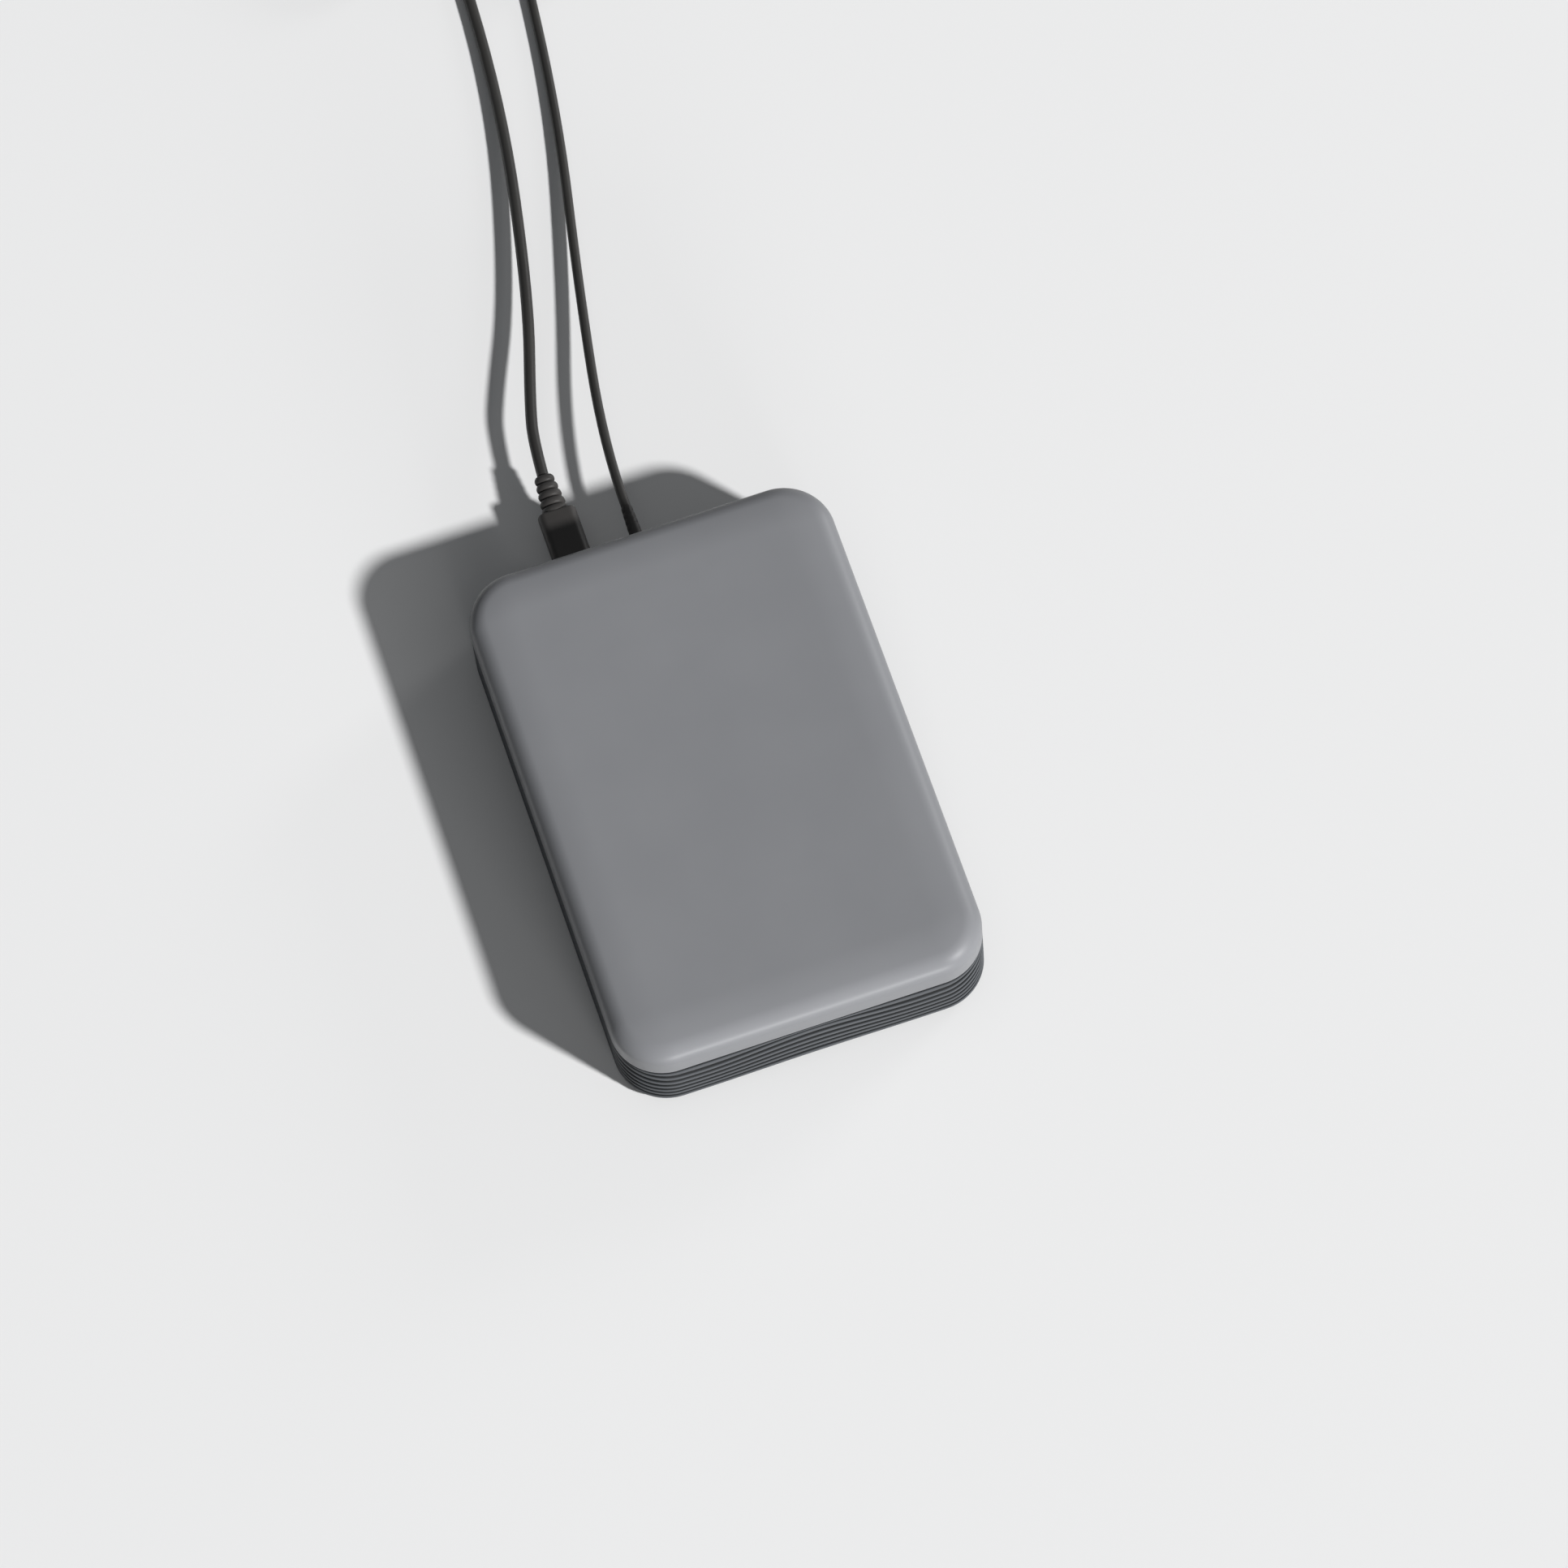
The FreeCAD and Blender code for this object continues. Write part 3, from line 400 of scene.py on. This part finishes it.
def laminate(name):
    """Circuit board: lacquer over a field of fine tracks."""
    material, shader = new_material(name, BOARD_GROUND, BOARD_ROUGH)
    tree = material.node_tree
    place = tree.nodes.new("ShaderNodeTexCoord")
    tracks = tree.nodes.new("ShaderNodeTexBrick")
    tracks.inputs["Scale"].default_value = TRACK_SCALE
    tracks.inputs["Mortar Size"].default_value = TRACK_WIDTH
    tracks.inputs["Color1"].default_value = (*BOARD_GROUND, 1)
    tracks.inputs["Color2"].default_value = (*[value * BOARD_SHADE for value in BOARD_GROUND], 1)
    tracks.inputs["Mortar"].default_value = (*BOARD_TRACKS, 1)
    relief = tree.nodes.new("ShaderNodeBump")
    relief.inputs["Strength"].default_value = TRACK_BUMP
    relief.inputs["Distance"].default_value = TRACK_HEIGHT
    tree.links.new(place.outputs["Object"], tracks.inputs["Vector"])
    tree.links.new(tracks.outputs["Color"], shader.inputs["Base Color"])
    tree.links.new(tracks.outputs["Fac"], relief.inputs["Height"])
    tree.links.new(relief.outputs["Normal"], shader.inputs["Normal"])
    return material


def node_box(node):
    """Low and high corner of a node of the solids, in millimetres."""
    return [[value / MM for value in corner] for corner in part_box(node)]


def add_piece(name, mesh, slot, *nodes):
    """A finished mesh takes the place of its nodes."""
    mesh.shade_smooth()
    mesh.set_sharp_from_angle(angle=math.radians(SHARP))
    mesh.materials.append(materials[slot])
    piece = bpy.data.objects.new(name, mesh)
    bpy.context.scene.collection.objects.link(piece)
    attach(piece, "root")
    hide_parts(*nodes)
    return piece


def to_mesh(name, form):
    """The mesh of a built form, in metres."""
    bmesh.ops.remove_doubles(form, verts=form.verts, dist=WELD)
    bmesh.ops.recalc_face_normals(form, faces=form.faces)
    bmesh.ops.scale(form, vec=(MM, MM, MM), verts=form.verts)
    mesh = bpy.data.meshes.new(name)
    form.to_mesh(mesh)
    form.free()
    return mesh


def skin(form, rings, painted_shades=()):
    """Closed skin over rings of equal count, with its two ends filled and a value of painted shade for each
    ring.
    """
    layer = form.verts.layers.float.new(PAINTED_SHADE) if painted_shades else None
    loops = [[form.verts.new(point) for point in ring] for ring in rings]
    for loop, shade in zip(loops, painted_shades):
        for vertex in loop:
            vertex[layer] = shade
    for low, high in zip(loops, loops[1:]):
        for index in range(len(low)):
            after = (index + 1) % len(low)
            form.faces.new((low[index], low[after], high[after], high[index]))
    form.faces.new(loops[0][::-1])
    form.faces.new(loops[-1])


def block(form, x0, x1, y0, y1, z0, z1):
    """A plain block between two corners, for ribs, lips and cutters."""
    rings = [[(x0, y0, z), (x1, y0, z), (x1, y1, z), (x0, y1, z)] for z in (z0, z1)]
    skin(form, rings)


def mirrored(form, side, x0, x1, y0, y1, z0, z1):
    """A block given for the right side, put on the side that is asked for."""
    low, high = sorted((side * x0, side * x1))
    block(form, low, high, y0, y1, z0, z1)


def round_rect(x, y, width, height, radius):
    """Points round a rectangle with round corners."""
    points = []
    for turn, (side_x, side_y) in enumerate(((1, 1), (-1, 1), (-1, -1), (1, -1))):
        for step in range(ROUND_STEPS + 1):
            angle = math.pi / 2 * (turn + step / ROUND_STEPS)
            points.append((x + side_x * (width / 2 - radius) + radius * math.cos(angle),
                           y + side_y * (height / 2 - radius) + radius * math.sin(angle)))
    return points


def edge_stations(start, end, radius):
    """Places along a bar with the inset that rounds its two ends."""
    bend = [math.pi / 2 * step / EDGE_STEPS for step in range(EDGE_STEPS + 1)]
    near = [(start + radius * (1 - math.sin(a)), radius * (1 - math.cos(a))) for a in bend[::-1]]
    far = [(end - radius * (1 - math.sin(a)), radius * (1 - math.cos(a))) for a in bend]
    return sorted(near + far)


def dip(middle, halves, depth):
    """Stations of a groove round a bar: half its width at the top and at the bottom, and its depth."""
    top, bottom = halves
    return [(middle - top, 0), (middle - bottom, depth), (middle + bottom, depth), (middle + top, 0)]


def bar_y(form, x, z, size, stations):
    """Bar along Y with a rounded section; each station is a place and an inset."""
    width, height, radius = size
    rings = []
    for y, inset in stations:
        around = round_rect(x, z, width - 2 * inset, height - 2 * inset, max(radius - inset, LEAST_R))
        rings.append([(u, y, w) for u, w in around])
    skin(form, rings)


def slab_z(form, x, y, size, stations):
    """Slab in plan with round corners; each station is a height and an inset."""
    width, length, radius = size
    rings = []
    for z, inset in stations:
        around = round_rect(x, y, width - 2 * inset, length - 2 * inset, max(radius - inset, LEAST_R))
        rings.append([(u, w, z) for u, w in around])
    skin(form, rings)


def lathe_y(form, x, z, profile):
    """Turned form along Y from pairs of place and radius."""
    angles = [2 * math.pi * side / SIDES for side in range(SIDES)]
    rings = []
    for y, radius in profile:
        rings.append([(x + radius * math.cos(a), y, z + radius * math.sin(a)) for a in angles])
    skin(form, rings)


def ribbed(start, end, radii, ribs, depth):
    """Profile of a strain relief: a taper with soft ribs round it."""
    profile = []
    steps = ribs * RIB_STEPS
    for step in range(steps + 1):
        share = step / steps
        radius = radii[0] + (radii[1] - radii[0]) * share
        swell = abs(math.sin(math.pi * ribs * share)) ** RIB_SHARP
        profile.append((start + (end - start) * share, radius - depth * (1 - swell)))
    return profile


def carve(mesh, cutter, operation):
    """Joins a cutter form to a mesh, or takes it away."""
    body = bpy.data.objects.new("body", mesh)
    tool = bpy.data.objects.new("tool", to_mesh("tool", cutter))
    for item in (body, tool):
        bpy.context.scene.collection.objects.link(item)
    change = body.modifiers.new("carve", "BOOLEAN")
    change.operation = operation
    change.solver = "EXACT"
    change.object = tool
    graph = bpy.context.evaluated_depsgraph_get()
    result = bpy.data.meshes.new_from_object(body.evaluated_get(graph))
    result.materials.clear()
    for item in (body, tool):
        data = item.data
        bpy.data.objects.remove(item)
        bpy.data.meshes.remove(data)
    return result


def outline():
    """Places round the housing from the front's middle: point, outward way and share of the way round."""
    flat_x = WIDTH / 2 - CORNER_R
    flat_y = LENGTH / 2 - CORNER_R
    arc = math.pi / 2 * CORNER_R
    runs = [((0, -LENGTH / 2), (1, 0), flat_x)]
    bends = []
    middles = ((flat_x, -flat_y), (flat_x, flat_y), (-flat_x, flat_y), (-flat_x, -flat_y))
    for index, (x, y) in enumerate(middles):
        bends.append((x, y, -math.pi / 2 + index * math.pi / 2))
    runs.append(((WIDTH / 2, -flat_y), (0, 1), 2 * flat_y))
    runs.append(((flat_x, LENGTH / 2), (-1, 0), 2 * flat_x))
    runs.append(((-WIDTH / 2, flat_y), (0, -1), 2 * flat_y))
    runs.append(((-flat_x, -LENGTH / 2), (1, 0), flat_x))
    total = 4 * (flat_x + flat_y + arc)
    places = []
    gone = 0.0
    for index, (start, way, length) in enumerate(runs):
        steps = round(length / OUTLINE_STEP)
        for step in range(steps):
            along = length * step / steps
            point = (start[0] + way[0] * along, start[1] + way[1] * along)
            places.append((point, (way[1], -way[0]), (gone + along) / total))
        gone += length
        if index < len(bends):
            x, y, angle = bends[index]
            for step in range(CORNER_STEPS):
                turn = angle + math.pi / 2 * step / CORNER_STEPS
                out = (math.cos(turn), math.sin(turn))
                point = (x + CORNER_R * out[0], y + CORNER_R * out[1])
                places.append((point, out, (gone + arc * step / CORNER_STEPS) / total))
            gone += arc
    return places


def ring_at(places, inset, z):
    """A level ring round the housing."""
    return [(p[0] - out[0] * inset, p[1] - out[1] * inset, z) for p, out, share in places]


def ridge_lines():
    """Mean height and swing of each groove from the floor's rim up to the parting line."""
    lines = [(BASE_Z, 0.0)]
    mean, swing, pitch = RIDGE_FIRST, RIDGE_SWING, RIDGE_PITCH
    while mean + swing < PART_Z:
        lines.append((mean, swing))
        mean += pitch
        pitch += RIDGE_PITCH_STEP
        swing += RIDGE_SWING_STEP
    lines.append((PART_Z, 0.0))
    return lines


def ridge_inset(index, share):
    """How far the wall lies in at a share of a ridge's height: long flank, crest, short upper slope."""
    if share < CREST_SHARE:
        foot = RIM_TUCK if index == 0 else RIDGE_DEPTH
        return foot * (1 - math.sin(math.pi / 2 * share / CREST_SHARE))
    return RIDGE_DEPTH * (1 - math.cos(math.pi / 2 * (share - CREST_SHARE) / (1 - CREST_SHARE)))


def painted_ridge_shade(inset):
    """Painted shade of the wall where it lies in by an inset: none on the crest, dark in the groove."""
    return min(1.0, max(0.0, inset / RIDGE_DEPTH * PAINTED_SHADE_GAIN - PAINTED_SHADE_START))


def tub_rings(places):
    """Rings of the tub's outside, from the floor's rim to the groove under the cover, and the painted groove
    shade of each.
    """
    lines = ridge_lines()
    waves = [math.cos(2 * math.pi * RIDGE_WAVES * share) for point, out, share in places]
    rings = []
    painted_shades = []
    for index, (low, high) in enumerate(zip(lines, lines[1:])):
        steps = RIDGE_STEPS + 1 if index == len(lines) - 2 else RIDGE_STEPS
        for step in range(steps):
            share = step / RIDGE_STEPS
            inset = ridge_inset(index, share)
            ring = []
            for (point, out, way), wave in zip(places, waves):
                base = low[0] + low[1] * wave
                z = base + (high[0] + high[1] * wave - base) * share
                ring.append((point[0] - out[0] * inset, point[1] - out[1] * inset, z))
            rings.append(ring)
            # Painted shade: the further the wall lies in, the darker it is painted
            painted_shades.append(painted_ridge_shade(inset))
    return rings, painted_shades


def tub_ribs():
    """Ribs beside the disk's rubber mounts and posts under the bridge board."""
    form = bmesh.new()
    wall = WIDTH / 2 - WALL_T
    for node in MOUNTS:
        low, high = node_box(node)
        side = 1 if low[0] > 0 else -1
        for y in (low[1] - MOUNT_GAP - MOUNT_RIB_T, high[1] + MOUNT_GAP):
            mirrored(form, side, wall - MOUNT_RIB_L, wall + WALL_T / 2, y, y + MOUNT_RIB_T,
                     FLOOR_Z - RIB_SINK, FLOOR_Z + MOUNT_RIB_H)
    low, high = node_box("bridge_board")
    half = POST_W / 2
    y = high[1] - POST_IN
    for x in (low[0] + POST_IN, high[0] - POST_IN):
        block(form, x - half, x + half, y - half, y + half, FLOOR_Z - RIB_SINK, low[2])
    return form


def tub_mesh(places):
    """Lower shell: wave ridges, floor with vents and foot wells, ribs, port panel, ports and hook seats."""
    form = bmesh.new()
    rings, painted_shades = tub_rings(places)
    rings.append(ring_at(places, WALL_T, PART_Z))
    rings.append(ring_at(places, WALL_T, FLOOR_Z))
    # The wall's rings carry their painted shade; the inner rings get none
    skin(form, rings, painted_shades + [0.0, 0.0])
    mesh = to_mesh("tub", form)
    rear = LENGTH / 2
    panel_x = sum(PANEL_X) / 2
    panel_z = sum(PANEL_Z) / 2
    size = (PANEL_X[1] - PANEL_X[0], PANEL_Z[1] - PANEL_Z[0], PANEL_R)
    add = bmesh.new()
    bar_y(add, panel_x, panel_z, size, ((rear - WALL_T * PANEL_ROOT, 0), (rear - PANEL_SINK, 0)))
    mesh = carve(mesh, add, "UNION")
    mesh = carve(mesh, tub_ribs(), "UNION")
    cut = bmesh.new()
    wide = (size[0] + 2 * PANEL_GAP, size[1] + 2 * PANEL_GAP, PANEL_R + PANEL_GAP)
    bar_y(cut, panel_x, panel_z, wide, ((rear - PANEL_SINK, 0), (rear + CUT_PAST, 0)))
    mesh = carve(mesh, cut, "DIFFERENCE")
    cut = bmesh.new()
    through = (rear - WALL_T - CUT_PAST, rear + CUT_PAST)
    bar_y(cut, USB_X, USB_Z, USB_HOLE, [(y, 0) for y in through])
    lathe_y(cut, DC_X, DC_Z, [(y, DC_HOLE_R) for y in through])
    for index in range(VENT_COUNT):
        y = (index - (VENT_COUNT - 1) / 2) * VENT_PITCH
        vent = (VENT_L, VENT_W, VENT_W * SLOT_ROUND)
        slab_z(cut, 0, y, vent, ((BASE_Z - CUT_PAST, 0), (FLOOR_Z + CUT_PAST, 0)))
    wall = WIDTH / 2 - WALL_T
    seat = PART_Z - HOOK_DROP
    half = HOOK_L / 2 + HOOK_BARB
    for side in (-1, 1):
        for y in HOOK_PLACES:
            mirrored(cut, side, wall - SEAT_PAST, wall + HOOK_BARB + LIP_GAP, y - half, y + half,
                     seat - LIP_GAP, seat + HOOK_BARB_H + LIP_GAP)
    for node in FEET:
        low, high = node_box(node)
        middle = [(a + b) / 2 for a, b in zip(low, high)]
        well = (high[0] - low[0], high[1] - low[1], FOOT_R)
        slab_z(cut, middle[0], middle[1], well, ((BASE_Z - CUT_PAST, 0), (high[2], 0)))
    mesh = carve(mesh, cut, "DIFFERENCE")
    # The underside gets no painted shade and keeps the plain tint
    shade = mesh.attributes[PAINTED_SHADE]
    for vertex in mesh.vertices:
        if vertex.co.z < (BASE_Z + RIM_H) * MM:
            shade.data[vertex.index].value = 0.0
    return mesh


def cover_lips():
    """Inner lip of the cover, its root on the wall, and the snap hooks and their barbs, as four forms."""
    out = WALL_T + LIP_GAP
    reach = out + LIP_T
    side_x = WIDTH / 2
    side_y = LENGTH / 2
    flat_x = side_x - CORNER_R
    flat_y = side_y - CORNER_R
    low = PART_Z - LIP_H
    foot = PART_Z - HOOK_DROP
    forms = []
    for z0, z1, edge in ((PART_Z, PART_Z + LIP_H, COVER_T / 2), (low, PART_Z + LIP_LAP, out)):
        form = bmesh.new()
        for side in (-1, 1):
            mirrored(form, side, side_x - reach, side_x - edge, -flat_y, flat_y, z0, z1)
            y0, y1 = sorted((side * (side_y - reach), side * (side_y - edge)))
            block(form, -flat_x, flat_x, y0, y1, z0, z1)
        forms.append(form)
    hooks = bmesh.new()
    barbs = bmesh.new()
    for side in (-1, 1):
        for y in HOOK_PLACES:
            ends = (y - HOOK_L / 2, y + HOOK_L / 2)
            mirrored(hooks, side, side_x - reach, side_x - out, *ends, foot, low + LIP_LAP)
            mirrored(barbs, side, side_x - out - LIP_LAP, side_x - WALL_T + HOOK_BARB, *ends, foot,
                     foot + HOOK_BARB_H)
    return forms + [hooks, barbs]


def cover_mesh(places):
    """Upper shell: reveal, straight band, arcs up to the flat top, and the hollow under it."""
    slopes = [math.radians(angle) for angle in (90, TIGHT_SLOPE, EDGE_SLOPE, 0)]
    sines = [math.sin(angle) for angle in slopes]
    run = EDGE_R * (sines[0] - sines[2]) - TIGHT_R * (sines[0] - sines[1])
    radii = (TIGHT_R, run / (sines[1] - sines[2]), CROWN_R)
    rise = sum(r * (math.cos(b) - math.cos(a)) for r, a, b in zip(radii, slopes, slopes[1:]))
    inset, z = 0.0, HEIGHT - rise
    edge = PART_Z + REVEAL_H
    line = [
        (HOLLOW_TOP[0], HEIGHT - HOLLOW_TOP[1]), (COVER_T, HEIGHT - HOLLOW_WALL),
        (COVER_T, PART_Z), (REVEAL_D, PART_Z), (REVEAL_D, edge), (LIP_SOFT, edge),
    ]
    for step in range(1, LIP_STEPS + 1):
        angle = math.pi / 2 * step / LIP_STEPS
        line.append((LIP_SOFT * (1 - math.sin(angle)), edge + LIP_SOFT * (1 - math.cos(angle))))
    low = edge + LIP_SOFT
    for step in range(1, BAND_STEPS + 1):
        line.append((0.0, low + (z - low) * step / BAND_STEPS))
    for radius, a, b, steps in zip(radii, slopes, slopes[1:], ARC_STEPS):
        for step in range(1, steps + 1):
            turn = a + (b - a) * step / steps
            line.append((inset + radius * (math.sin(a) - math.sin(turn)),
                         z + radius * (math.cos(turn) - math.cos(a))))
        inset, z = line[-1]
    form = bmesh.new()
    skin(form, [ring_at(places, inset, z) for inset, z in line])
    mesh = to_mesh("cover", form)
    for form in cover_lips():
        mesh = carve(mesh, form, "UNION")
    return mesh


def foot_mesh(node):
    """Rubber foot with a rounded tread."""
    low, high = node_box(node)
    form = bmesh.new()
    size = (high[0] - low[0], high[1] - low[1], FOOT_R)
    angles = [math.pi / 2 * step / FOOT_STEPS for step in range(FOOT_STEPS + 1)]
    bend = [(low[2] + FOOT_SOFT * (1 - math.cos(a)), FOOT_SOFT * (1 - math.sin(a))) for a in angles]
    slab_z(form, (low[0] + high[0]) / 2, (low[1] + high[1]) / 2, size, bend + [(high[2], 0)])
    return to_mesh(node, form)


def relief_rings(start, end):
    """Flat strain relief of the data plug: broad ribs with narrow gaps, smaller towards the cord."""
    angles = [2 * math.pi * side / SIDES for side in range(SIDES)]
    rings = []
    steps = RELIEF_RIBS * RIB_STEPS
    for step in range(steps + 1):
        share = step / steps
        radius = RELIEF_R[0] + (RELIEF_R[1] - RELIEF_R[0]) * share
        swell = abs(math.sin(math.pi * RELIEF_RIBS * share)) ** RELIEF_SHARP
        reach = radius - RELIEF_DEPTH * (1 - swell)
        wide = reach * RELIEF_WIDE
        y = start + (end - start) * share
        rings.append([(USB_X + wide * math.cos(a), y, USB_Z + reach * math.sin(a)) for a in angles])
    return rings


def plug_mesh():
    """Data plug: rounded body and ribbed strain relief."""
    form = bmesh.new()
    bar_y(form, USB_X, USB_Z, PLUG_SIZE, edge_stations(PORT_Y, PLUG_END, PLUG_SOFT))
    skin(form, relief_rings(PLUG_END - RELIEF_LAP, RELIEF_END))
    return to_mesh("usb_plug_body", form)


def power_plug_mesh():
    """Slim power plug: turned body and ribbed strain relief."""
    form = bmesh.new()
    stations = edge_stations(PORT_Y, POWER_PLUG_END, POWER_PLUG_SOFT)
    lathe_y(form, DC_X, DC_Z, [(y, POWER_PLUG_R - inset) for y, inset in stations])
    relief = ribbed(POWER_PLUG_END - RIBS_LAP, POWER_RELIEF_END, POWER_RELIEF_R, *POWER_RIBS)
    lathe_y(form, DC_X, DC_Z, relief)
    return to_mesh("power_plug_body", form)


def host_plug_mesh():
    """Far plug of the data cord: rounded body with grip steps, and ribbed strain relief."""
    form = bmesh.new()
    stations = edge_stations(HOST_Y[1], HOST_Y[2], HOST_SOFT)
    middle = (HOST_Y[1] + HOST_Y[2]) / 2
    grips = []
    for index in range(GRIP_COUNT):
        y = middle + (index - (GRIP_COUNT - 1) / 2) * GRIP_PITCH
        grips += dip(y, GRIP_HALF, GRIP_DEPTH)
    bar_y(form, *HOST_MIDDLE, HOST_SIZE, sorted(stations + grips))
    lathe_y(form, *HOST_MIDDLE, ribbed(HOST_Y[0], HOST_Y[1] + RIBS_LAP, HOST_RELIEF_R, *HOST_RIBS))
    return to_mesh("host_plug_body", form)


def adapter_mesh():
    """Wall adapter: soft-edged case with a seam, and a ribbed strain relief."""
    form = bmesh.new()
    size = (ADAPTER_X[1] - ADAPTER_X[0], ADAPTER_Y[1] - ADAPTER_Y[0], ADAPTER_R)
    stations = edge_stations(0, ADAPTER_H, ADAPTER_SOFT) + dip(ADAPTER_H / 2, SEAM_HALF, SEAM_DEPTH)
    slab_z(form, sum(ADAPTER_X) / 2, sum(ADAPTER_Y) / 2, size, sorted(stations))
    start, small, large = ADAPTER_RELIEF
    lathe_y(form, *ADAPTER_CORD, ribbed(start, ADAPTER_Y[0] + RIBS_LAP, (small, large), *ADAPTER_RIBS))
    return to_mesh("adapter_body", form)


def tie_mesh(node):
    """Flat tie wound once round a coil."""
    low, high = node_box(node)
    form = bmesh.new()
    x = (low[0] + high[0]) / 2
    z = (low[2] + high[2]) / 2
    stations = (
        (low[1], TIE_SOFT), (low[1] + TIE_SOFT, 0), (high[1] - TIE_SOFT, 0), (high[1], TIE_SOFT),
    )
    rings = []
    for y, inset in stations:
        around = round_rect(x, z, high[0] - low[0] - 2 * inset, high[2] - low[2] - 2 * inset, TIE_R)
        rings.append([(u, y, w) for u, w in around])
    inner = round_rect(x, z, high[0] - low[0] - 2 * TIE_T, high[2] - low[2] - 2 * TIE_T, TIE_R - TIE_T)
    rings.append([(u, high[1], w) for u, w in inner])
    rings.append([(u, low[1], w) for u, w in inner])
    loops = [[form.verts.new(point) for point in ring] for ring in rings]
    for near, far in zip(loops, loops[1:] + loops[:1]):
        for index in range(len(near)):
            after = (index + 1) % len(near)
            form.faces.new((near[index], near[after], far[after], far[index]))
    return to_mesh(node, form)


def add_lights():
    """Studio light: a key from the right front, part of it reflected, low panels, a fill and the room."""
    for name, kind, place, size, power, reflected in LAMPS:
        data = bpy.data.lights.new(name, kind)
        data.energy = power
        if kind == "SUN":
            data.angle = size
        else:
            data.shape = "SQUARE"
            data.size = size
        lamp = bpy.data.objects.new(name, data)
        bpy.context.scene.collection.objects.link(lamp)
        lamp.location = place
        lamp.rotation_euler = (Vector(place) * -1).to_track_quat("-Z", "Y").to_euler()
        lamp.visible_glossy = reflected
    world = bpy.data.worlds.new("room")
    bpy.context.scene.world = world
    world.use_nodes = True
    shade = world.node_tree.nodes["Background"]
    shade.inputs["Color"].default_value = ROOM_COLOUR
    shade.inputs["Strength"].default_value = ROOM_LIGHT


def add_floor():
    """Plain pale floor: the eye and reflections see it pale, while it throws back less light on the drive."""
    mesh = bpy.data.meshes.new("floor")
    corners = [(x * FLOOR_REACH, y * FLOOR_REACH, 0) for x, y in ((-1, -1), (1, -1), (1, 1), (-1, 1))]
    mesh.from_pydata(corners, [], [(0, 1, 2, 3)])
    floor = bpy.data.objects.new("floor", mesh)
    bpy.context.scene.collection.objects.link(floor)
    material, shader = new_material("floor", FLOOR_PALE, FLOOR_ROUGH)
    shader.inputs["Specular IOR Level"].default_value = 0.0
    tree = material.node_tree
    path = tree.nodes.new("ShaderNodeLightPath")
    seen = tree.nodes.new("ShaderNodeMath")
    seen.operation = "MAXIMUM"
    clear = tree.nodes.new("ShaderNodeMath")
    clear.operation = "MAXIMUM"
    tint = tree.nodes.new("ShaderNodeMixRGB")
    tint.inputs["Color1"].default_value = (*FLOOR_DIM, 1)
    tint.inputs["Color2"].default_value = (*FLOOR_PALE, 1)
    tree.links.new(path.outputs["Is Camera Ray"], seen.inputs[0])
    tree.links.new(path.outputs["Is Glossy Ray"], seen.inputs[1])
    tree.links.new(seen.outputs[0], clear.inputs[0])
    tree.links.new(path.outputs["Is Transmission Ray"], clear.inputs[1])
    tree.links.new(clear.outputs[0], tint.inputs["Fac"])
    tree.links.new(tint.outputs["Color"], shader.inputs["Base Color"])
    mesh.materials.append(material)


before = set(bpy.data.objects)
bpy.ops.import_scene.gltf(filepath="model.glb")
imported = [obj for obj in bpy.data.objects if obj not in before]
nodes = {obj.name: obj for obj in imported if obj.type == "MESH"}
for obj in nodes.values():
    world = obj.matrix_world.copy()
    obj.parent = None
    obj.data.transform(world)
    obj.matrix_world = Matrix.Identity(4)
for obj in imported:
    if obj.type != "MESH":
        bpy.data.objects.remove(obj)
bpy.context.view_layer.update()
add_camera()
materials = {"board_laminate": laminate("board_laminate")}
for name, finish in FINISHES.items():
    if name == "tub_plastic":
        # The tub's material paints shade into its grooves
        materials[name] = moulded(name, *finish, specular=TUB_SPECULAR, groove=TUB_PAINTED_SHADE)
    else:
        materials[name] = moulded(name, *finish, metal=1.0 if name in METALS else 0.0)
places = outline()
add_piece("tub_shell", tub_mesh(places), "tub_plastic", "base_tub")
add_piece("cover_shell", cover_mesh(places), "cover_plastic", "top_cover")
for node in FEET:
    add_piece(node + "_pad", foot_mesh(node), "foot_rubber", node)
usb_plug = add_piece("usb_plug_body", plug_mesh(), "plug_plastic", "usb_plug")
power_plug = add_piece("power_plug_body", power_plug_mesh(), "plug_plastic", "power_plug")
host_plug = add_piece("host_plug_body", host_plug_mesh(), "plug_plastic", "host_plug")
adapter = add_piece("adapter_body", adapter_mesh(), "adapter_plastic", "mains_adapter")
usb_tie = add_piece("usb_tie", tie_mesh("usb_cord_tie"), "tie_plastic", "usb_cord_tie")
power_tie = add_piece("power_tie", tie_mesh("power_cord_tie"), "tie_plastic", "power_cord_tie")

usb_points = USB_ROUTE + tuple(coil_points(USB_COIL, USB_TURNS, 0.0, 1)) + USB_TAIL
usb_cord = curve_piece("usb_cord_line", usb_points, USB_D, materials["cord_jacket"])
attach(usb_cord, "root")
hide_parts("usb_cord", "usb_cord_coil")
power_points = POWER_ROUTE + tuple(coil_points(POWER_COIL, POWER_TURNS, math.pi, -1)) + POWER_TAIL
power_cord = curve_piece("power_cord_line", power_points, POWER_D, materials["cord_jacket"])
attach(power_cord, "root")
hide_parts("power_cord", "power_cord_coil")

for node, slot in KEPT_NODES.items():
    for index in range(len(nodes[node].material_slots)):
        nodes[node].material_slots[index].material = materials[slot]
add_floor()
add_lights()
bpy.context.scene.view_settings.view_transform = "Standard"
